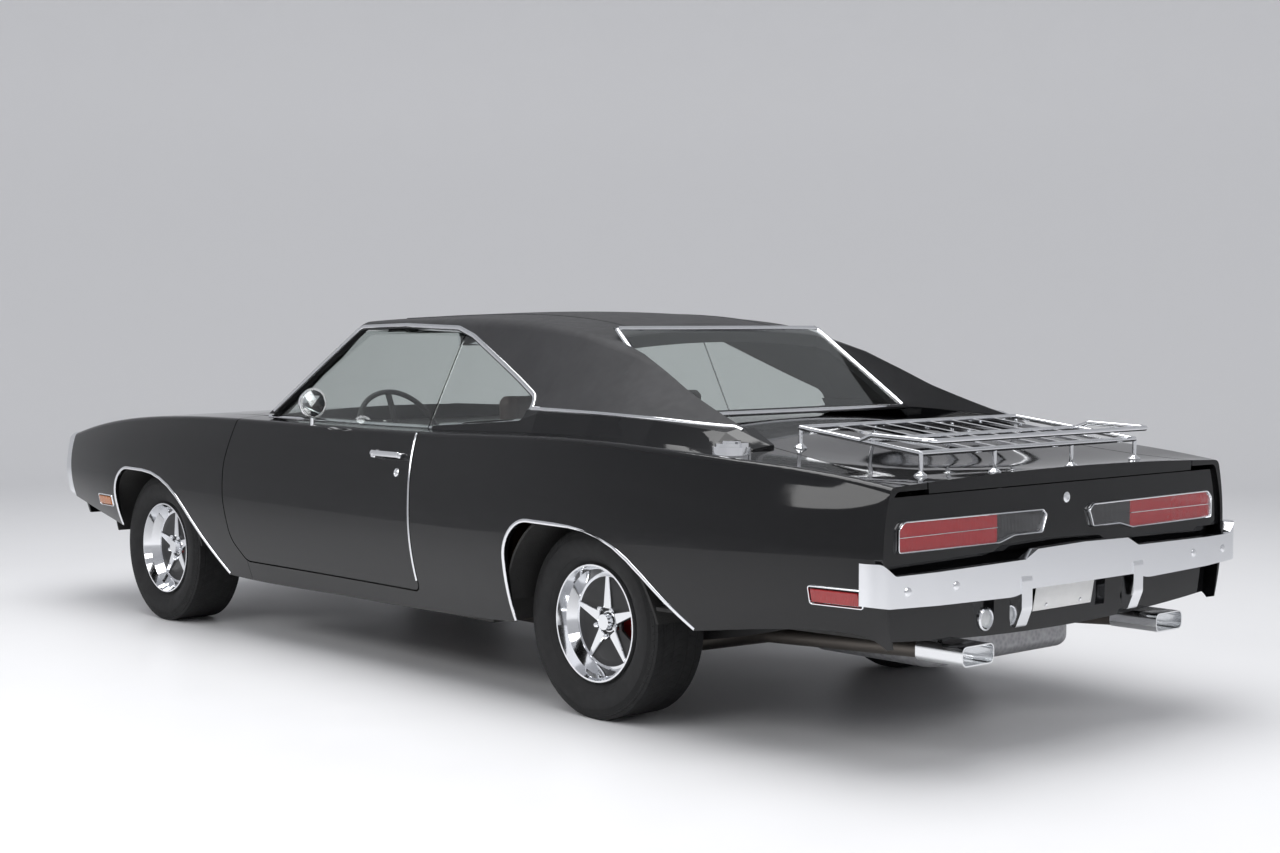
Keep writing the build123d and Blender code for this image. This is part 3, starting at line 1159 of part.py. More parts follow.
# Luggage rack: slats between two cross rails on legs, with a raised hoop round the rear
with BuildPart() as luggage_rack:
    for cross_y, cross_z in RACK_CROSS:
        with BuildSketch(Plane.YZ.offset(-RACK_HALF)):
            with Locations((cross_y, cross_z)):
                Circle(RACK_TUBE)
        extrude(amount=2 * RACK_HALF)
    rack_run = Plane(origin=(0, RACK_CROSS[0][0], RACK_CROSS[0][1]), x_dir=(1, 0, 0),
                     z_dir=(0, RACK_CROSS[-1][0] - RACK_CROSS[0][0],
                            RACK_CROSS[-1][1] - RACK_CROSS[0][1]))
    run = ((RACK_CROSS[-1][0] - RACK_CROSS[0][0]) ** 2
           + (RACK_CROSS[-1][1] - RACK_CROSS[0][1]) ** 2) ** 0.5
    with BuildSketch(rack_run):
        with GridLocations(2 * RACK_SLAT_HALF / (RACK_SLATS - 1), 0, RACK_SLATS, 1):
            Rectangle(RACK_SLAT_WIDTH, 8)
        with Locations((RACK_HALF, 0), (-RACK_HALF, 0)):
            Circle(RACK_TUBE)
    extrude(amount=run)
    with BuildLine() as hoop_line:
        FilletPolyline((RACK_HALF, RACK_HOOP_FRONT_Y, RACK_CROSS[1][1]),
                       (RACK_HALF + 6, RACK_HOOP_FRONT_Y + 50, RACK_HOOP_Z + 8),
                       (RACK_HALF + 10, RACK_HOOP_REAR_Y, RACK_HOOP_Z),
                       (-RACK_HALF - 10, RACK_HOOP_REAR_Y, RACK_HOOP_Z),
                       (-RACK_HALF - 6, RACK_HOOP_FRONT_Y + 50, RACK_HOOP_Z + 8),
                       (-RACK_HALF, RACK_HOOP_FRONT_Y, RACK_CROSS[1][1]), radius=30)
    with BuildSketch(Plane(origin=hoop_line.line @ 0, z_dir=hoop_line.line % 0)):
        Circle(RACK_TUBE)
    sweep()
    for post_x, post_y, post_low, post_high in RACK_POSTS:
        with BuildSketch(Plane.XY.offset(post_low)):
            with Locations((post_x, post_y)):
                Circle(RACK_TUBE * 0.8)
        extrude(amount=post_high - post_low)
    add(outer_body, mode=Mode.SUBTRACT)
luggage_rack.part.label = "luggage_rack"
export_step(luggage_rack.part, "parts/luggage_rack.step")

# Fuel cap: a stepped round cap with a hinge lug on the left quarter's top
with BuildPart() as fuel_cap:
    for cap_radius, cap_low, cap_high in CAP_STEPS:
        with BuildSketch(Plane.XY.offset(cap_low)):
            with Locations(FUEL_CAP_PLACE):
                Circle(cap_radius)
        extrude(amount=cap_high - cap_low)
    with BuildSketch(Plane.XY.offset(CAP_STEPS[1][1])):
        with Locations((FUEL_CAP_PLACE[0], FUEL_CAP_PLACE[1] + CAP_STEPS[1][0])):
            Rectangle(26, 22)
    extrude(amount=14)
    add(outer_body, mode=Mode.SUBTRACT)
    add(hip.part, mode=Mode.SUBTRACT)
fuel_cap.part.label = "fuel_cap"
export_step(fuel_cap.part, "parts/fuel_cap.step")

# Door mirror: a round head on a curved stalk, on the driver's door
with BuildPart() as door_mirror:
    with BuildSketch(Plane.XZ.offset(-MIRROR_Y - 12)):
        with Locations((MIRROR_X, MIRROR_Z)):
            Circle(MIRROR_RADIUS)
    extrude(amount=30, taper=24)
    with BuildSketch(Plane.XZ.offset(-MIRROR_Y - 12)):
        with Locations((MIRROR_X, MIRROR_Z)):
            Circle(MIRROR_RADIUS)
    extrude(amount=-8)
    with BuildLine() as stalk_line:
        FilletPolyline((MIRROR_X - 34, MIRROR_Y - 44, 925), (MIRROR_X - 34, MIRROR_Y - 40, 965),
                       (MIRROR_X, MIRROR_Y, MIRROR_Z), radius=26)
    with BuildSketch(Plane(origin=stalk_line.line @ 0, z_dir=stalk_line.line % 0)):
        Circle(9)
    sweep()
    add(outer_body, mode=Mode.SUBTRACT)
door_mirror.part.label = "door_mirror"
export_step(door_mirror.part, "parts/door_mirror.step")
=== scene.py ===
import bmesh
import bpy
import json
from math import cos, pi, radians, sin, tan
from mathutils import Matrix, Vector
from mathutils.bvhtree import BVHTree


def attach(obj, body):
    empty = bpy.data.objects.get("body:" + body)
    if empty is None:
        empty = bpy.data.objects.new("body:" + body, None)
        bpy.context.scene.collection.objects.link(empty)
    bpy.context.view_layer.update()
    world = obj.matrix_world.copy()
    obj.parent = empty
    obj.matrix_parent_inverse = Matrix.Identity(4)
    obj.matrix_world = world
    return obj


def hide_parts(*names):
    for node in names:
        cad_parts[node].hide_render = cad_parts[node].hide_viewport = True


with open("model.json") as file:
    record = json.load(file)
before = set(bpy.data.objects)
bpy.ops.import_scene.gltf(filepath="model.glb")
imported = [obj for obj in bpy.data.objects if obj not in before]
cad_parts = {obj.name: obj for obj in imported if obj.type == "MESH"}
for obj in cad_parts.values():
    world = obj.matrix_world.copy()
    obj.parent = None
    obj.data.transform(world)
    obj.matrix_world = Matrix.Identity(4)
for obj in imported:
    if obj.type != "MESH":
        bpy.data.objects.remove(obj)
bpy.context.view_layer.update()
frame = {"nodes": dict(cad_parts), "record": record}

nodes = frame["nodes"]
body_of = {node: body for body, group in frame["record"]["behaviour"]["bodies"].items()
           for node in group}

# Studio: the camera at the photograph's place, a pale sweep of floor and wall, and broad soft
# lamps overhead, as in a car dealer's photo booth.
eye = Vector((5.142, 6.3135, 1.352))
yaw, pitch = radians(41.706), radians(-3.119)
camera_data = bpy.data.cameras.new("camera")
camera_data.lens = 55.53
camera_data.sensor_width = 36.0
camera = bpy.data.objects.new("camera", camera_data)
bpy.context.scene.collection.objects.link(camera)
camera.location = eye
gaze = Vector((-sin(yaw) * cos(pitch), -cos(yaw) * cos(pitch), sin(pitch)))
camera.rotation_euler = gaze.to_track_quat("-Z", "Y").to_euler()
bpy.context.scene.camera = camera
bpy.context.scene.view_settings.view_transform = "Standard"


class Socket:
    """A shader socket that can stand in a Python sum."""

    def __init__(self, finish, socket):
        self.finish, self.socket = finish, socket

    def __add__(self, other):
        return self.finish.math("ADD", self, other)

    def __sub__(self, other):
        return self.finish.math("SUBTRACT", self, other)

    def __mul__(self, other):
        return self.finish.math("MULTIPLY", self, other)

    def __pow__(self, other):
        return self.finish.math("POWER", self, other)

    __radd__ = __add__
    __rmul__ = __mul__


class Finish:
    """A procedural material: a Principled shader whose sockets take numbers or node sockets."""

    def __init__(self, name, colour, roughness, metallic=0.0, **fixed):
        self.material = bpy.data.materials.new(name)
        self.material.use_nodes = True
        self.tree = self.material.node_tree
        self.shader = self.tree.nodes["Principled BSDF"]
        self.set("Base Color", colour)
        self.set("Roughness", roughness)
        self.set("Metallic", metallic)
        for socket, value in fixed.items():
            self.set(socket.replace("_", " "), value)

    def set(self, socket, value):
        self.feed(self.shader.inputs[socket], value)

    def feed(self, socket, value):
        if isinstance(value, Socket):
            self.tree.links.new(value.socket, socket)
        elif socket.type == "RGBA" and len(value) == 3:
            socket.default_value = (*value, 1.0)
        else:
            socket.default_value = value

    def node(self, kind, settings={}, inputs={}, output=0):
        made = self.tree.nodes.new(kind)
        for key, value in settings.items():
            setattr(made, key, value)
        for key, value in inputs.items():
            self.feed(made.inputs[key], value)
        return Socket(self, made.outputs[output])

    def place(self):
        return self.node("ShaderNodeTexCoord", output="Object")

    def math(self, operation, first, second=0.0):
        return self.node("ShaderNodeMath", {"operation": operation}, {0: first, 1: second})

    def axis(self, name):
        return self.node("ShaderNodeSeparateXYZ", {}, {0: self.place()}, output=name)

    def noise(self, scale, detail=2.0, stretch=(1, 1, 1), where=None):
        where = self.node("ShaderNodeMapping", {},
                          {"Vector": where or self.place(), "Scale": stretch})
        return self.node("ShaderNodeTexNoise", {}, {"Vector": where, "Scale": scale,
                                                    "Detail": detail}, output="Fac")

    def cells(self, scale, feature="F1", stretch=(1, 1, 1)):
        where = self.node("ShaderNodeMapping", {}, {"Vector": self.place(), "Scale": stretch})
        return self.node("ShaderNodeTexVoronoi", {"feature": feature},
                         {"Vector": where, "Scale": scale}, output="Distance")

    def step(self, value, low, high, to_low=0.0, to_high=1.0):
        return self.node("ShaderNodeMapRange", {"clamp": True},
                         {0: value, 1: low, 2: high, 3: to_low, 4: to_high})

    def mix(self, mask, first, second):
        return self.node("ShaderNodeMix", {"data_type": "RGBA"}, {0: mask, 6: first, 7: second},
                         output=2)

    def bump(self, height, distance, strength=1.0):
        self.set("Normal", self.node("ShaderNodeBump", {}, {"Height": height, "Distance": distance,
                                                            "Strength": strength}))


# The floor is a wide disc that turns up into a pale wall, dished so that no corner shows.
sweep_radius, wall_radius, wall_height = 9.0, 13.0, 11.0
profile = [(0.0, 0.0), (4.0, 0.0), (sweep_radius, 0.0)]
for i in range(1, 17):
    turn = i * pi / 32
    profile.append((sweep_radius + (wall_radius - sweep_radius) * sin(turn),
                    (wall_radius - sweep_radius) * (1 - cos(turn))))
profile.append((wall_radius, wall_height))
sweep = bmesh.new()
around = 128
rings = [[sweep.verts.new((r * cos(2 * pi * k / around), r * sin(2 * pi * k / around), z))
          for k in range(around)] for r, z in profile[1:]]
centre = sweep.verts.new((0, 0, 0))
for k in range(around):
    sweep.faces.new((centre, rings[0][k], rings[0][(k + 1) % around]))
    for inner, outer in zip(rings, rings[1:]):
        sweep.faces.new((inner[k], outer[k], outer[(k + 1) % around], inner[(k + 1) % around]))
sweep_mesh = bpy.data.meshes.new("studio_sweep")
sweep.to_mesh(sweep_mesh)
sweep.free()
sweep_mesh.shade_smooth()
studio = bpy.data.objects.new("studio_sweep", sweep_mesh)
bpy.context.scene.collection.objects.link(studio)
backdrop = Finish("studio_white", (0.80, 0.80, 0.81), 0.4, Specular_IOR_Level=0.3)
backdrop.set("Roughness", 0.34 + 0.12 * backdrop.noise(3.0, 3.0))
sweep_mesh.materials.append(backdrop.material)


def lamp(name, place, aim, size, energy):
    data = bpy.data.lights.new(name, "AREA")
    data.shape = "RECTANGLE"
    data.size, data.size_y = size
    data.energy = energy
    shone = bpy.data.objects.new(name, data)
    shone.location = place
    shone.rotation_euler = (Vector(aim) - Vector(place)).to_track_quat("-Z", "Y").to_euler()
    bpy.context.scene.collection.objects.link(shone)
    return shone


lamp("lamp_overhead", (0.6, 0.5, 7.0), (0, 0, 0), (6.0, 8.0), 520)
lamp("lamp_left", (7.5, 0.5, 5.0), (0, 0, 0.6), (7.0, 2.2), 190)
lamp("lamp_tail", (1.5, 8.5, 5.0), (0, 1, 0.6), (6.0, 2.2), 150)
world = bpy.data.worlds.new("world")
bpy.context.scene.world = world
world.use_nodes = True
world.node_tree.nodes["Background"].inputs[0].default_value = (0.93, 0.95, 1.0, 1.0)
world.node_tree.nodes["Background"].inputs[1].default_value = 0.45


# Body panels: pressed steel sheet, welded or bolted over the inner structure, sprayed in black
# enamel and polished; the film is a little uneven and duller where cloths have rubbed it.
def coat(names, finish):
    for name in names:
        for slot in nodes[name].material_slots:
            slot.material = finish.material


paint = Finish("black_enamel", (0.004, 0.004, 0.0045), 0.05, Specular_IOR_Level=0.40)
paint.set("Roughness", paint.step(paint.noise(4.0, 4.0), 0.35, 0.75, 0.03, 0.07))
paint.bump(paint.noise(240.0, 2.0), 0.00003, 0.3)
coat(["hood", "cowl", "fender_left", "fender_right", "door_left", "door_right", "quarter_left",
      "quarter_right", "rear_deck", "trunk_lid", "tail_panel", "rear_valance", "front_valance"],
     paint)

# Roof: a steel skin under grained charcoal vinyl, glued down and sewn in three widths, so two
# raised welts run from the windshield header to the rear window.
vinyl = Finish("roof_vinyl", (0.02, 0.02, 0.022), 0.6, Specular_IOR_Level=0.35)
grain = vinyl.cells(520.0)
folds = vinyl.noise(1400.0, 3.0)
vinyl.set("Base Color", vinyl.mix(vinyl.noise(7.0, 4.0), (0.013, 0.0132, 0.0145),
                                  (0.03, 0.03, 0.033)))
vinyl.set("Roughness", 0.52 + 0.2 * vinyl.noise(30.0, 3.0))
vinyl.bump(0.7 * grain + 0.3 * folds, 0.0006, 0.55)
coat(["roof"], vinyl)


class Surface:
    """CAD nodes to lay trim on: a point pushed along a direction until it meets them."""

    def __init__(self, *names):
        points, faces = [], []
        for name in names:
            mesh = nodes[name].data
            base = len(points)
            points += [v.co.copy() for v in mesh.vertices]
            faces += [[base + i for i in p.vertices] for p in mesh.polygons]
        self.tree = BVHTree.FromPolygons(points, faces)

    def meet(self, point, direction):
        place, normal, _, _ = self.tree.ray_cast(Vector(point), Vector(direction).normalized())
        if place is not None and normal.dot(Vector(direction)) > 0:
            normal = -normal
        return place, normal

    def lay(self, points, direction):
        met = [self.meet(p, direction) for p in points]
        return [m for m in met if m[0] is not None]


def made_piece(name, mesh_maker, body, finish, smooth=35):
    """Turns a bmesh into a piece: doubles merged, faces outwards, smooth up to an angle."""
    bmesh.ops.remove_doubles(mesh_maker, verts=mesh_maker.verts, dist=1e-6)
    bmesh.ops.recalc_face_normals(mesh_maker, faces=mesh_maker.faces)
    for face in mesh_maker.faces:
        face.smooth = True
    for edge in mesh_maker.edges:
        edge.smooth = len(edge.link_faces) == 2 and edge.calc_face_angle(pi) < radians(smooth)
    mesh = bpy.data.meshes.new(name)
    mesh_maker.to_mesh(mesh)
    mesh_maker.free()
    mesh.materials.append(finish.material)
    piece = bpy.data.objects.new(name, mesh)
    bpy.context.scene.collection.objects.link(piece)
    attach(piece, body)


# A half-round moulding's section, as shares of its width across and of its height up.
half_round = [(-0.5, -0.0), (-0.42, 0.55), (-0.2, 0.93), (0.0, 1.0), (0.2, 0.93), (0.42, 0.55),
              (0.5, 0.0)]


def add_strip(maker, laid, width, height, closed=False, sink=0.001):
    """A raised half-round strip along (point, normal) pairs."""
    rings = []
    count = len(laid)
    for i, (point, normal) in enumerate(laid):
        before = laid[i - 1][0] if i or closed else point
        after = laid[(i + 1) % count][0] if i < count - 1 or closed else point
        along = (after - before).normalized()
        across = normal.cross(along).normalized()
        up = along.cross(across).normalized()
        ring = [maker.verts.new(point + across * (u * width) + up * (v * height))
                for u, v in half_round]
        ring += [maker.verts.new(point + across * (u * width) - up * sink)
                 for u, v in (half_round[-1], half_round[0])]
        rings.append(ring)
    size = len(rings[0])
    for i in range(count if closed else count - 1):
        a, b = rings[i], rings[(i + 1) % count]
        for k in range(size):
            maker.faces.new((a[k], a[(k + 1) % size], b[(k + 1) % size], b[k]))
    if not closed:
        maker.faces.new(rings[0])
        maker.faces.new(rings[-1])


def between(a, b, count):
    return [Vector(a).lerp(Vector(b), k / (count - 1)) for k in range(count)]


# Distances from which points are pushed onto the car: beside it and above it.
clear_x, clear_z = 1.2, 1.6
roof_top = Surface("roof")
welts = bmesh.new()
for side in (-1, 1):
    line = between((side * 0.40, -0.455, clear_z), (side * 0.37, 0.965, clear_z), 60)
    add_strip(welts, roof_top.lay(line, (0, 0, -1)), 0.013, 0.0028)
made_piece("roof_welts", welts, "body", vinyl)

# Bright trim round the glass and the vinyl: rolled stainless mouldings, clipped on, half round
# and about a finger wide, with a wider gutter above the doors.
chrome = Finish("bright_plate", (0.84, 0.85, 0.87), 0.05, 1.0)
chrome.set("Roughness", chrome.step(chrome.noise(14.0, 4.0), 0.3, 0.8, 0.035, 0.11))


def rounded(outline, radii, turn_step=radians(9)):
    """A closed flat outline with its corners rounded, as the CAD's own outlines are."""
    path = []
    count = len(outline)
    for i, (corner, radius) in enumerate(zip(outline, radii)):
        corner = Vector(corner)
        to_last = (Vector(outline[i - 1]) - corner).normalized()
        to_next = (Vector(outline[(i + 1) % count]) - corner).normalized()
        if not radius:
            path.append(corner)
            continue
        half = to_last.angle(to_next) / 2
        centre = corner + (to_last + to_next).normalized() * (radius / sin(half))
        start = corner + to_last * (radius / tan(half)) - centre
        end = corner + to_next * (radius / tan(half)) - centre
        turn = pi - 2 * half
        if start.x * end.y - start.y * end.x < 0:
            turn = -turn
        steps = max(2, int(abs(turn) / turn_step) + 1)
        path += [centre + Matrix.Rotation(turn * k / steps, 2) @ start for k in range(steps + 1)]
    return path


def spaced(path, gap, closed=False):
    """The same flat path with points no further apart than a gap."""
    ends = list(zip(path, path[1:] + path[:1])) if closed else list(zip(path, path[1:]))
    full = []
    for a, b in ends:
        steps = max(1, int((b - a).length / gap))
        full += [a.lerp(b, k / steps) for k in range(steps)]
    return full if closed else full + [path[-1]]


def shifted(path, amount, closed=False):
    """A flat path moved sideways, to its left as it runs."""
    moved = []
    count = len(path)
    for i, point in enumerate(path):
        before = path[i - 1] if i or closed else point
        after = path[(i + 1) % count] if i < count - 1 or closed else point
        along = after - before
        if along.length < 1e-9:
            continue
        along.normalize()
        moved.append(point + Vector((-along.y, along.x)) * amount)
    return moved


window = [(-0.884, 0.948), (-0.455, 1.308), (-0.150, 1.316), (0.219, 1.307), (0.330, 1.277),
          (0.846, 1.060), (0.815, 0.990), (0.240, 0.948)]
window_radii = [0.008, 0.040, 0.300, 0.090, 0.160, 0.034, 0.030, 0.200]
window_path = spaced(rounded(window, window_radii), 0.03, True)
surround = bmesh.new()
for side in (-1, 1):
    above = [p for p in shifted(window_path, 0.011, True) if p.y > 0.965 or p.x > 0.8]
    first = min(range(len(above)), key=lambda k: above[k].x)
    above = above[first:] + above[:first]
    if above[0].x > above[1].x:
        above.reverse()
    laid = [m for m in (roof_top.meet((side * 1.1, p.x, p.y), (-side, 0, 0)) for p in above)
            if m[0] is not None and abs(m[0].x) > 0.5]
    add_strip(surround, laid, 0.019, 0.007)
made_piece("drip_rails", surround, "body", chrome)

# Belt mouldings: bright rolled strips clipped along the door tops, the sills of the quarter
# windows and the foot of the vinyl on the sail panels.
for side, door, name in ((1, "door_left", "belt_left"), (-1, "door_right", "belt_right")):
    belt = bmesh.new()
    line = between((side * 0.775, -0.93, 1.3), (side * 0.775, 0.262, 1.3), 36)
    laid = [(m[0], Vector((side * 0.35, 0, 0.94)).normalized()) for m in
            Surface(door).lay(line, (0, 0, -1)) if m[0].z > 0.85]
    add_strip(belt, laid, 0.020, 0.008)
    made_piece(name, belt, body_of[door], chrome)
hips = bmesh.new()
sail_foot = [(0.842, 1.036), (1.0, 1.0345), (1.2, 1.032), (1.5, 1.024), (1.78, 1.006),
             (1.875, 0.975)]
hip_surface = Surface("quarter_left", "quarter_right")
for side in (-1, 1):
    line = between((side * 0.772, 0.288, 1.3), (side * 0.772, 0.80, 1.3), 18)
    laid = [(m[0], Vector((side * 0.35, 0, 0.94)).normalized())
            for m in hip_surface.lay(line, (0, 0, -1)) if m[0].z > 0.85]
    if len(laid) > 2:
        add_strip(hips, laid, 0.020, 0.008)
    base = spaced([Vector(p) for p in sail_foot], 0.03)
    laid = [m for m in (roof_top.meet((side * 1.1, p.x, p.y), (-side, 0, 0)) for p in base)
            if m[0] is not None and abs(m[0].x) > 0.6]
    if len(laid) > 2:
        add_strip(hips, laid, 0.016, 0.006)
made_piece("vinyl_base_mouldings", hips, "body", chrome)

# Rear window and windshield mouldings: bright stainless frames, snapped over studs, that hide
# the edge of each glass and its sealer.
frames = bmesh.new()
top_y, top_z, low_y, low_z = 0.985, 1.322, 1.400, 1.010
pane_up = Vector((0, top_z - low_z, low_y - top_y)).normalized()
corner = [Vector((x, y, z)) + pane_up * 0.004 for x, y, z in (
    (-0.517, top_y + 0.010, top_z - 0.008), (0.517, top_y + 0.010, top_z - 0.008),
    (0.590, low_y - 0.010, low_z + 0.008), (-0.590, low_y - 0.010, low_z + 0.008))]
edge = []
for a, b in zip(corner, corner[1:] + corner[:1]):
    edge += between(a.lerp(b, 0.02), a.lerp(b, 0.98), 12)
add_strip(frames, [(p, pane_up) for p in edge], 0.020, 0.009, closed=True)
made_piece("rear_window_frame", frames, "body", chrome)
shield = Surface("windshield", "roof", "cowl")
frames = bmesh.new()
front = [(-0.700, 0.990), (-0.583, 1.326), (0.583, 1.326), (0.700, 0.990)]
path = spaced(rounded(front, [0, 0.036, 0.036, 0]), 0.04)
laid = [m for m in (shield.meet((p.x, -1.6, p.y), (0, 1, 0)) for p in path) if m[0] is not None]
add_strip(frames, laid, 0.018, 0.009)
made_piece("windshield_frame", frames, "body", chrome)

# Wheel-lip mouldings: bright half-round stainless strips, screwed from behind, that follow the
# edge of each wheel opening.
front_axle, rear_axle, axle_z = -1.7065, 1.2655, 0.325
widest_lip = 0.9655
arches = (
    (front_axle, [(-0.330, 0.30), (-0.330, 0.676), (0.175, 0.672), (0.648, 0.240)],
     ("fender_left", "fender_right")),
    (rear_axle, [(-0.360, 0.30), (-0.360, 0.662), (0.202, 0.657), (0.700, 0.240)],
     ("quarter_left", "quarter_right")),
)
lips = bmesh.new()
for axle, arch, panels in arches:
    path = spaced(rounded([(y + axle, z) for y, z in arch], [0, 0.140, 0.560, 0]), 0.02)
    panel_sides = Surface(*panels)
    for side in (-1, 1):
        laid = [(Vector((side * min(abs(m[0].x), widest_lip), m[0].y, m[0].z)), m[1])
                for m in (panel_sides.meet((side * clear_x, p.x, p.y), (-side, 0, 0))
                          for p in shifted(path, 0.004)) if m[0] is not None and abs(m[0].x) > 0.8]
        add_strip(lips, laid, 0.014, 0.004)
made_piece("wheel_lip_mouldings", lips, "body", chrome)

# Door fittings: the edge guard, the die-cast paddle handle with its push button, and the key
# lock, all bright plated and fixed through the door skin.
def add_block(maker, centre, size, turn=Matrix(), round_off=0.0, rings=2):
    """A box with rounded edges, centred at a place."""
    made = bmesh.ops.create_cube(maker, size=1.0, matrix=Matrix.Translation(centre) @ turn.to_4x4()
                                 @ Matrix.Diagonal((*size, 1.0)))
    edges = list({e for v in made["verts"] for e in v.link_edges})
    if round_off:
        bmesh.ops.bevel(maker, geom=edges, offset=round_off, segments=rings, profile=0.6,
                        affect="EDGES")


def add_turned(maker, place, direction, profile, around=32):
    """A turned shape: its profile is given as radius and height along the direction."""
    direction = Vector(direction).normalized()
    turn = Vector((0, 0, 1)).rotation_difference(direction).to_matrix()
    rings = []
    for radius, height in profile:
        if radius < 1e-6:
            rings.append([maker.verts.new(Vector(place) + turn @ Vector((0, 0, height)))])
        else:
            rings.append([maker.verts.new(Vector(place) + turn @ Vector(
                (radius * cos(2 * pi * k / around), radius * sin(2 * pi * k / around), height)))
                for k in range(around)])
    for a, b in zip(rings, rings[1:]):
        for k in range(around):
            n = (k + 1) % around
            corners = [a[k % len(a)], a[n % len(a)], b[n % len(b)], b[k % len(b)]]
            corners = [c for i, c in enumerate(corners) if c not in corners[:i]]
            if len(corners) > 2:
                maker.faces.new(corners)


handle_place, lock_place = (0.14, 0.838), (0.206, 0.778)
for side, door in ((1, "door_left"), (-1, "door_right")):
    skin = Surface(door)
    rear_edge = [(0.3, 0.1), (0.3265, 0.350), (0.3035, 0.690), (0.2705, 0.925), (0.2, 1.2)]
    rear_edge = spaced(rounded(rear_edge, [0, 0.02, 0.7, 0.02, 0]), 0.03)
    rear_edge = [p for p in rear_edge if 0.352 < p.y < 0.925]
    fittings = bmesh.new()
    laid = [m for m in (skin.meet((side * clear_x, p.x, p.y), (-side, 0, 0)) for p in rear_edge)
            if m[0] is not None]
    add_strip(fittings, laid, 0.009, 0.004)
    grip, out = skin.meet((side * clear_x, *handle_place), (-side, 0, 0))
    add_block(fittings, grip + out * 0.028 + Vector((0, 0.010, 0)), (0.012, 0.170, 0.022),
              round_off=0.005, rings=3)
    add_block(fittings, grip + out * 0.014 + Vector((0, -0.078, 0)), (0.030, 0.030, 0.030),
              round_off=0.008, rings=3)
    add_block(fittings, grip + out * 0.014 + Vector((0, 0.092, 0)), (0.030, 0.020, 0.020),
              round_off=0.006, rings=3)
    add_turned(fittings, grip + out * 0.026 + Vector((0, -0.078, 0)), out,
               [(0.0, 0.010), (0.008, 0.009), (0.010, 0.006), (0.010, 0.0)])
    lock, out = skin.meet((side * clear_x, *lock_place), (-side, 0, 0))
    add_turned(fittings, lock, out, [(0.016, -0.002), (0.016, 0.002), (0.013, 0.005),
                                     (0.009, 0.006), (0.009, 0.004), (0.0, 0.004)])
    made_piece("fittings_" + door, fittings, body_of[door], chrome)

# Glass: the curved windshield, the flat rear window and the four side panes, all of clear
# float glass with a faint green.
glass = Finish("clear_glass", (0.86, 0.90, 0.88), 0.01, Transmission_Weight=1.0, IOR=1.45)
glass.set("Roughness", glass.step(glass.noise(6.0, 3.0), 0.4, 0.9, 0.0, 0.03))
coat(["windshield", "rear_window", "quarter_glass", "door_glass_left", "door_glass_right"], glass)

# Tail lamps: long red lenses with a fine upright flute, black towards the middle, each in a deep
# plated bezel with one bright line across it.
lens = Finish("tail_lens", (0.3, 0.004, 0.006), 0.08, Coat_Weight=0.6, Coat_Roughness=0.03)
lens_x = lens.math("ABSOLUTE", lens.axis("X"))
flutes = lens.math("SINE", lens.axis("X") * 900.0)
lens.set("Base Color", lens.mix(lens.step(lens_x, 0.345, 0.350), (0.006, 0.006, 0.007),
                                (0.33, 0.004, 0.008)))
lens.set("Roughness", lens.step(lens.noise(60.0), 0.3, 0.7, 0.06, 0.14))
lens.bump(flutes, 0.0008, 0.7)
coat(["tail_lamps"], lens)
lamp_outline = [(0.812, 0.676), (0.812, 0.742), (0.790, 0.764), (0.132, 0.760), (0.112, 0.742),
                (0.134, 0.690), (0.276, 0.690), (0.350, 0.672)]
lamp_path = spaced(rounded(lamp_outline, [0.008, 0.014, 0.030, 0.018, 0.010, 0.010, 0.05, 0.05]),
                   0.03, True)
bezels = bmesh.new()
lamp_y = 2.5675
for side in (-1, 1):
    laid = [(Vector((side * p.x, lamp_y, p.y)), Vector((0, 1, 0))) for p in lamp_path]
    add_strip(bezels, laid, 0.009, 0.013, closed=True)
    line = between((side * 0.350, lamp_y, 0.718), (side * 0.806, lamp_y, 0.718), 12)
    add_strip(bezels, [(p, Vector((0, 1, 0))) for p in line], 0.004, 0.005)
trunk_lock = Surface("tail_panel", "trunk_lid").meet((0, 3.0, 0.790), (0, -1, 0))
add_turned(bezels, trunk_lock[0], (0, 1, 0), [(0.017, -0.002), (0.017, 0.003), (0.012, 0.006),
                                              (0.008, 0.006), (0.008, 0.004), (0, 0.004)])
made_piece("tail_lamp_bezels", bezels, "body", chrome)

# Bumpers: pressed steel bars, bright plated, each held by domed bolts; the rear one carries two
# guards, and between them hangs a blank white number plate on four bolts.
coat(["front_bumper", "rear_bumper", "luggage_rack", "fuel_cap", "door_mirror"], chrome)
bolts = bmesh.new()
bolt_places = ((0.620, 0.570), (0.820, 0.568))
rear_bar = Surface("rear_bumper")
dome = [(0.014, -0.002), (0.014, 0.001), (0.011, 0.0035), (0.006, 0.0045), (0.0, 0.005)]
for x, z in bolt_places:
    for side in (-1, 1):
        spot, out = rear_bar.meet((side * x, 3.2, z), (0, -1, 0))
        if spot:
            add_turned(bolts, spot, out, dome)
made_piece("bumper_bolts", bolts, "body", chrome)
white = Finish("plate_white", (0.78, 0.78, 0.77), 0.32)
white.set("Base Color", white.mix(white.noise(40.0, 5.0), (0.74, 0.74, 0.73), (0.82, 0.82, 0.81)))
white.bump(white.noise(900.0), 0.0002, 0.2)
lean = Matrix.Rotation(radians(-10.3), 3, "X")
plate_centre = Vector((0, 2.5695, 0.515))
plate_width, plate_height, plate_thickness = 0.3048, 0.1524, 0.0012
plate = bmesh.new()
add_block(plate, plate_centre, (plate_width, plate_thickness, plate_height), lean, 0.0005)
rim_path = spaced(rounded([(-0.148, -0.072), (0.148, -0.072), (0.148, 0.072), (-0.148, 0.072)],
                          [0.012] * 4), 0.04, True)
face = lean @ Vector((0, 1, 0))
add_strip(plate, [(plate_centre + lean @ Vector((p.x, 0.0006, p.y)), face) for p in rim_path],
          0.005, 0.0015, closed=True, sink=0.0003)
made_piece("number_plate", plate, "body", white)
plate_bolts = bmesh.new()
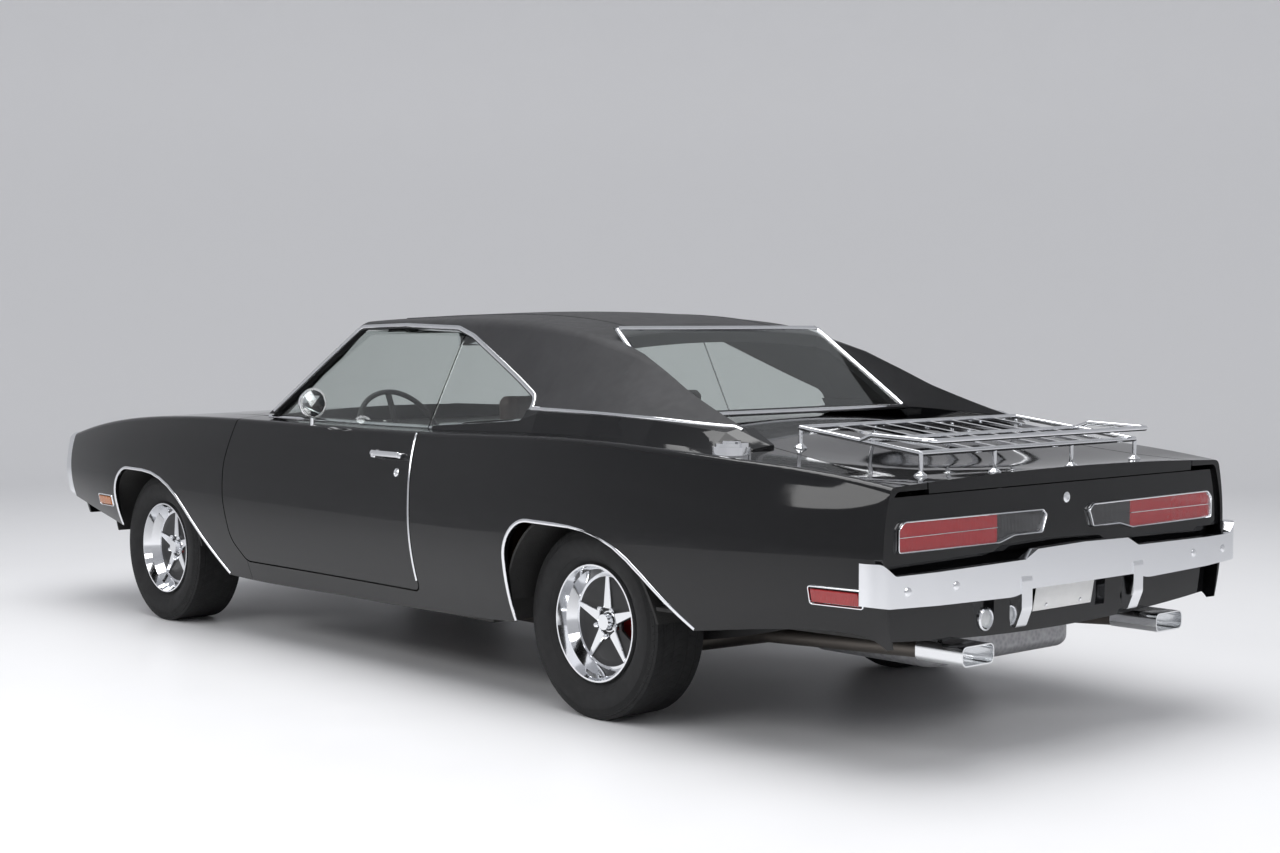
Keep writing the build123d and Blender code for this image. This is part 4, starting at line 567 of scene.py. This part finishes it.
for x in (-0.0889, 0.0889):
    for z in (-0.060, 0.060):
        add_turned(plate_bolts, plate_centre + lean @ Vector((x, 0.0006, z)), face,
                   [(0.007, -0.0005), (0.007, 0.002), (0.005, 0.004), (0.0, 0.0045)], 6)
for x in (-0.14, 0.14):
    add_block(plate_bolts, plate_centre + lean @ Vector((x * 0.6, -0.012, 0.0)),
              (0.02, 0.022, 0.1), lean, 0.002)
made_piece("plate_bolts", plate_bolts, "body", chrome)

# Backup lamps: round fluted lenses moulded in clear plastic, held by plated bezels that are let
# into the painted apron.
clear_lens = Finish("lamp_lens", (0.8, 0.82, 0.82), 0.08, Coat_Weight=0.5)
clear_lens.set("Base Color", clear_lens.mix(clear_lens.noise(30.0), (0.62, 0.64, 0.65),
                                            (0.85, 0.86, 0.86)))
clear_lens.bump(clear_lens.math("SINE", clear_lens.axis("X") * 1300.0), 0.001, 0.8)
rings, lenses = bmesh.new(), bmesh.new()
backup_x, backup_y, backup_z = 0.375, 2.5455, 0.438
for side in (-1, 1):
    seat = Vector((side * backup_x, backup_y, backup_z))
    add_turned(rings, seat, (0, 1, 0), [(0.0315, -0.009), (0.0315, 0.0), (0.037, 0.001),
                                        (0.036, 0.006), (0.031, 0.009), (0.027, 0.008),
                                        (0.026, 0.002), (0.026, -0.009)])
    add_turned(lenses, seat, (0, 1, 0), [(0.0262, -0.006), (0.0262, 0.001), (0.020, 0.004),
                                         (0.010, 0.006), (0.0, 0.0065)])
made_piece("backup_bezels", rings, "body", chrome)
made_piece("backup_lenses", lenses, "body", clear_lens)

# Side markers: a moulded oblong lens in a plated frame on each corner, amber ahead and red
# behind, screwed to the panel from inside.
amber = Finish("amber_lens", (0.55, 0.16, 0.01), 0.1, Coat_Weight=0.5)
red = Finish("marker_red", (0.38, 0.006, 0.008), 0.1, Coat_Weight=0.5)
for tint, dull, full in ((amber, (0.42, 0.1, 0.005), (0.62, 0.2, 0.02)),
                         (red, (0.25, 0.003, 0.005), (0.42, 0.01, 0.012))):
    tint.set("Base Color", tint.mix(tint.noise(25.0), dull, full))
    tint.bump(tint.math("SINE", tint.axis("Y") * 1100.0), 0.0008, 0.6)
marker_frames = bmesh.new()
for name, tint, panel, y, z, long, tall in (
        ("markers_front", amber, "fender_", -2.155, 0.515, 0.154, 0.050),
        ("markers_rear", red, "quarter_", 2.4085, 0.539, 0.189, 0.056)):
    lamps = bmesh.new()
    for side, word in ((1, "left"), (-1, "right")):
        skin = Surface(panel + word)
        spot, out = skin.meet((side * clear_x, y, z), (-side, 0, 0))
        if not spot:
            continue
        back = skin.meet((side * clear_x, y + 0.04, z), (-side, 0, 0))[0] or spot
        fore = skin.meet((side * clear_x, y - 0.04, z), (-side, 0, 0))[0] or spot
        along = (back - fore).normalized()
        up = along.cross(out) if side > 0 else out.cross(along)
        up = up if up.z > 0 else -up
        turn = Matrix((out, along, up)).transposed()
        add_block(lamps, spot + out * 0.003, (0.009, long * 0.9, tall * 0.72), turn, 0.003, 3)
        ring = spaced(rounded([(-long / 2, -tall / 2), (long / 2, -tall / 2), (long / 2, tall / 2),
                               (-long / 2, tall / 2)], [0.008] * 4), 0.03, True)
        add_strip(marker_frames, [(spot + along * p.x + up * p.y - out * 0.001, out) for p in ring],
                  0.007, 0.006, closed=True, sink=0.004)
    made_piece(name, lamps, "body", tint)
made_piece("marker_frames", marker_frames, "body", chrome)

# Mirror glass: a silvered disc of glass, crimped into the round plated head that stands on the
# left door.
silver = Finish("mirror_silver", (0.9, 0.92, 0.93), 0.02, 1.0)
silver.set("Roughness", silver.step(silver.noise(20.0), 0.3, 0.8, 0.005, 0.03))
mirror_spot = Surface("door_mirror").meet((0.896, 0.3, 1.018), (0, -1, 0))[0]
disc = bmesh.new()
add_turned(disc, mirror_spot, (0, 1, 0), [(0.052, -0.001), (0.052, 0.0008), (0.050, 0.0014),
                                          (0.0, 0.0016)])
made_piece("mirror_glass", disc, body_of["door_mirror"], silver)

# Rack feet: a turned and plated collar under every post, screwed down to the trunk lid over a
# gasket.
feet = bmesh.new()
lid = Surface("trunk_lid")
post_x, post_y = (-0.555, -0.200, 0.200, 0.555), (1.940, 2.440)
for x in post_x:
    for y in post_y:
        spot, out = lid.meet((x, y, 1.4), (0, 0, -1))
        if spot:
            add_turned(feet, spot, out, [(0.021, -0.002), (0.021, 0.003), (0.017, 0.007),
                                         (0.012, 0.010), (0.0085, 0.014), (0.0, 0.014)])
made_piece("rack_feet", feet, body_of["luggage_rack"], chrome)

# Road wheels: pressed steel centres painted black with five bright ridged spokes, welded into
# bright rims; each is held by five domed nuts round a bright cap.
def wheel_finish(name, axle, half_track):
    made = Finish(name, (0.8, 0.81, 0.82), 0.06, 1.0)
    across = made.axis("Y") - axle
    upward = made.axis("Z") - axle_z
    radius = (across * across + upward * upward) ** 0.5
    proud = made.math("ABSOLUTE", made.axis("X")) - half_track
    bright = made.math("MAXIMUM", made.step(radius, 0.153, 0.1545),
                       made.step(proud, 0.0385, 0.0395))
    bright = made.math("MAXIMUM", bright, made.step(radius, 0.0365, 0.0355))
    dust = made.noise(60.0, 5.0)
    made.set("Base Color", made.mix(bright, (0.012, 0.012, 0.013), (0.84, 0.85, 0.87)))
    made.set("Metallic", bright)
    made.set("Roughness", made.step(bright, 0.0, 1.0, 0.42, 0.05) + 0.03 * dust)
    return made


wheel_ends = (("front", front_axle, 0.758), ("rear", rear_axle, 0.752))
nut_circle, valve_circle = 0.052, 0.169
rubber = Finish("black_rubber", (0.018, 0.018, 0.018), 0.7)
rubber.set("Roughness", 0.6 + 0.2 * rubber.noise(80.0))
for end, axle, half_track in wheel_ends:
    wheel_paint = wheel_finish("wheel_" + end + "_finish", axle, half_track)
    for side, word in ((1, "left"), (-1, "right")):
        wheel = "wheel_" + end + "_" + word
        coat([wheel], wheel_paint)
        face_of = Surface(wheel)
        nuts, stem = bmesh.new(), bmesh.new()
        for k in range(5):
            turn = 2 * pi * k / 5 + pi / 2 + pi / 5
            aim = (side * clear_x, axle + nut_circle * cos(turn), axle_z + nut_circle * sin(turn))
            spot, out = face_of.meet(aim, (-side, 0, 0))
            if spot:
                add_turned(nuts, spot, (side, 0, 0), [(0.0115, -0.001), (0.0105, 0.012)], 6)
                add_turned(nuts, spot, (side, 0, 0), [(0.0095, 0.011), (0.0095, 0.015),
                                                      (0.007, 0.020), (0.0, 0.022)], 20)
        made_piece("nuts_" + end + "_" + word, nuts, body_of[wheel], chrome)
        spot, out = face_of.meet((side * clear_x, axle + valve_circle, axle_z), (-side, 0, 0))
        if spot:
            add_turned(stem, spot - Vector((side * 0.002, 0, 0)), (side, 0, 0),
                       [(0.006, 0.0), (0.0055, 0.012), (0.004, 0.014), (0.004, 0.028),
                        (0.0045, 0.029), (0.0045, 0.036), (0.0, 0.037)], 16)
            made_piece("valve_" + end + "_" + word, stem, body_of[wheel], rubber)

# Tyres: black rubber, moulded with four running grooves, cross sipes, shoulder notches and fine
# rings round the side wall.
block_length = 0.013


def tyre_finish(name, axle, half_track):
    made = Finish(name, (0.015, 0.015, 0.0155), 0.72, Specular_IOR_Level=0.3)
    across = made.axis("Y") - axle
    upward = made.axis("Z") - axle_z
    radius = (across * across + upward * upward) ** 0.5
    run = made.math("ARCTAN2", upward, across) * axle_z
    sideways = made.math("ABSOLUTE", made.math("ABSOLUTE", made.axis("X")) - half_track)
    on_tread = made.step(radius, 0.313, 0.316)
    grooves = made.step(made.math("PINGPONG", sideways + 0.0105, 0.021), 0.002, 0.0035)
    sipes = made.math("PINGPONG", run + sideways * 0.45 + 4.0, block_length)
    tread = made.math("MINIMUM", grooves, made.step(sipes, 0.0011, 0.0018))
    ribs = made.math("SINE", radius * 2500.0)
    band = made.step(radius, 0.288, 0.290) * made.step(radius, 0.306, 0.304)
    wall = ribs * band * 0.12 + made.step(radius, 0.2285, 0.2295) * 0.15
    notch = made.step(made.math("PINGPONG", run + 4.0, block_length), 0.0015, 0.0025)
    shoulder = made.step(radius, 0.306, 0.307) * made.step(radius, 0.317, 0.315)
    height = on_tread * tread + wall + shoulder * notch * 0.8
    made.set("Base Color", made.mix(made.noise(18.0, 5.0), (0.011, 0.011, 0.0115),
                                    (0.024, 0.024, 0.0245)))
    made.set("Roughness", 0.58 + 0.25 * made.noise(40.0, 4.0))
    made.bump(height, 0.006, 1.0)
    return made


for end, axle, half_track in wheel_ends:
    coat(["tyre_" + end + "_left", "tyre_" + end + "_right"],
         tyre_finish("tyre_" + end + "_rubber", axle, half_track))

# Axle, knuckles and drums: iron castings and welded tube painted black, with the brake drums
# painted red behind the wheels.
casting = Finish("axle_casting", (0.03, 0.03, 0.03), 0.5)
drum = casting.step(casting.math("ABSOLUTE", casting.axis("X")), 0.655, 0.66)
casting.set("Base Color", casting.mix(drum, (0.022, 0.022, 0.022), (0.34, 0.012, 0.012)))
casting.set("Roughness", 0.4 + 0.25 * casting.noise(50.0, 4.0))
casting.bump(casting.noise(300.0, 3.0), 0.0006, 0.4)
coat(["rear_axle", "knuckle_left", "knuckle_right"], casting)

# Floor, frame and wheelhouses: steel sheet and box rails, spot-welded together under a rough
# black undercoat.
under = Finish("undercoat", (0.014, 0.014, 0.014), 0.8)
under.set("Base Color", under.mix(under.noise(9.0, 5.0), (0.010, 0.010, 0.010),
                                  (0.026, 0.025, 0.024)))
under.set("Roughness", 0.68 + 0.25 * under.noise(30.0))
under.bump(under.cells(160.0), 0.0015, 0.5)
coat(["floor_pan", "front_frame", "wheelhouses"], under)

# Engine, exhaust and tank: a painted iron block, bent dull steel pipes with bright flat tips,
# and a pressed zinc-plated tank hung on straps.
iron = Finish("engine_paint", (0.03, 0.05, 0.09), 0.5)
iron.set("Base Color", iron.mix(iron.noise(12.0, 5.0), (0.02, 0.024, 0.03), (0.05, 0.06, 0.075)))
iron.bump(iron.noise(220.0, 3.0), 0.0006, 0.5)
coat(["engine"], iron)
pipe = Finish("pipe_steel", (0.3, 0.29, 0.28), 0.4, 1.0)
tips = pipe.step(pipe.axis("Y"), 2.436, 2.440)
pipe.set("Base Color", pipe.mix(tips, (0.16, 0.145, 0.13), (0.8, 0.81, 0.82)))
pipe.set("Roughness", pipe.step(tips, 0.0, 1.0, 0.42, 0.08) + 0.1 * pipe.noise(25.0, 4.0))
coat(["exhaust"], pipe)
zinc = Finish("tank_zinc", (0.35, 0.35, 0.35), 0.45, 0.9)
zinc.set("Base Color", zinc.mix(zinc.cells(60.0), (0.26, 0.26, 0.27), (0.42, 0.42, 0.43)))
coat(["fuel_tank"], zinc)

# Grille and lamp doors: slats and ribs moulded in satin black plastic with a fine grain, held
# inside the front bumper's loop.
satin = Finish("grille_satin", (0.012, 0.012, 0.012), 0.4)
satin.set("Roughness", 0.32 + 0.2 * satin.noise(40.0, 4.0))
satin.bump(satin.noise(500.0), 0.0003, 0.4)
coat(["grille"], satin)

# Dashboard and column: grained black padding over steel, two round dials under plated rims, a
# thin-rimmed black steering wheel and the plated mirror on the windshield's header.
pad = Finish("dash_padding", (0.018, 0.018, 0.018), 0.55)
pad.set("Roughness", 0.48 + 0.2 * pad.noise(30.0, 4.0))
pad.bump(pad.cells(700.0), 0.0006, 0.5)
coat(["dashboard", "steering_column", "steering_wheel"], pad)
dial = Finish("dial_face", (0.02, 0.02, 0.02), 0.3)
dial_ring = dial.math("SINE", dial.axis("X") * 700.0)
dial.set("Base Color", dial.mix(dial.step(dial_ring, 0.9, 0.95), (0.015, 0.015, 0.016),
                                (0.5, 0.5, 0.48)))
dials, dial_rims = bmesh.new(), bmesh.new()
for x in (0.29, 0.45):
    spot, out = Surface("dashboard").meet((x, -0.5, 0.83), (0, -1, 0))
    if spot:
        add_turned(dials, spot, out, [(0.045, -0.001), (0.045, 0.001), (0.0, 0.0015)])
        add_turned(dial_rims, spot, out, [(0.050, -0.002), (0.050, 0.004), (0.047, 0.006),
                                          (0.044, 0.004), (0.044, -0.001)])
made_piece("dials", dials, "body", dial)
made_piece("dial_rims", dial_rims, "body", chrome)
inside_mirror = bmesh.new()
add_block(inside_mirror, Vector((0, -0.475, 1.268)), (0.245, 0.016, 0.055), round_off=0.007,
          rings=3)
add_turned(inside_mirror, (0, -0.483, 1.27), (0, -0.62, 0.78),
           [(0.006, 0.0), (0.006, 0.05), (0.0, 0.05)], 12)
made_piece("inside_mirror", inside_mirror, "body", chrome)

# Seats: brown-black vinyl covers sewn in upright pleats over foam, drawn tight over the seat
# frames and a little swollen.
cover = Finish("seat_cover", (0.06, 0.03, 0.02), 0.45)
pleats = cover.math("PINGPONG", cover.axis("X") + 5.0, 0.03)
cover.set("Base Color", cover.mix(cover.noise(14.0, 4.0), (0.045, 0.022, 0.014),
                                  (0.075, 0.038, 0.026)))
cover.set("Roughness", 0.38 + 0.2 * cover.noise(60.0, 3.0))
cover.bump(cover.step(pleats, 0.0, 0.006) + 0.12 * cover.cells(600.0), 0.003, 0.7)


def padded_copy(node, reach=0.024):
    """The CAD cushion's form, re-meshed, blown up a little as cloth, and smoothed once."""
    mesh = nodes[node].data.copy()
    mesh.materials.clear()
    mesh.materials.append(cover.material)
    piece = bpy.data.objects.new(node + "_cover", mesh)
    bpy.context.scene.collection.objects.link(piece)

    def settle(kind, **settings):
        modifier = piece.modifiers.new(kind, kind)
        for key, value in settings.items():
            setattr(modifier, key, value)
        return modifier

    def keep():
        done = bpy.data.meshes.new_from_object(
            piece.evaluated_get(bpy.context.evaluated_depsgraph_get()))
        piece.modifiers.clear()
        piece.data = done

    settle("REMESH", mode="VOXEL", voxel_size=0.020)
    keep()
    before = [v.co.copy() for v in piece.data.vertices]
    cloth = settle("CLOTH").settings
    cloth.use_pressure = True
    cloth.uniform_pressure_force = 4.0
    cloth.effector_weights.gravity = 0.0
    for frame_number in range(1, 21):
        bpy.context.scene.frame_set(frame_number)
    keep()
    bpy.context.scene.frame_set(1)
    for vertex, start in zip(piece.data.vertices, before):
        moved = vertex.co - start
        if moved.length > reach:
            vertex.co = start + moved.normalized() * reach
    settle("SUBSURF", levels=1, render_levels=1)
    keep()
    piece.data.materials.clear()
    piece.data.materials.append(cover.material)
    piece.data.shade_smooth()
    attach(piece, body_of[node])
    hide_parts(node)


for node in ("front_seats", "rear_seat"):
    padded_copy(node)
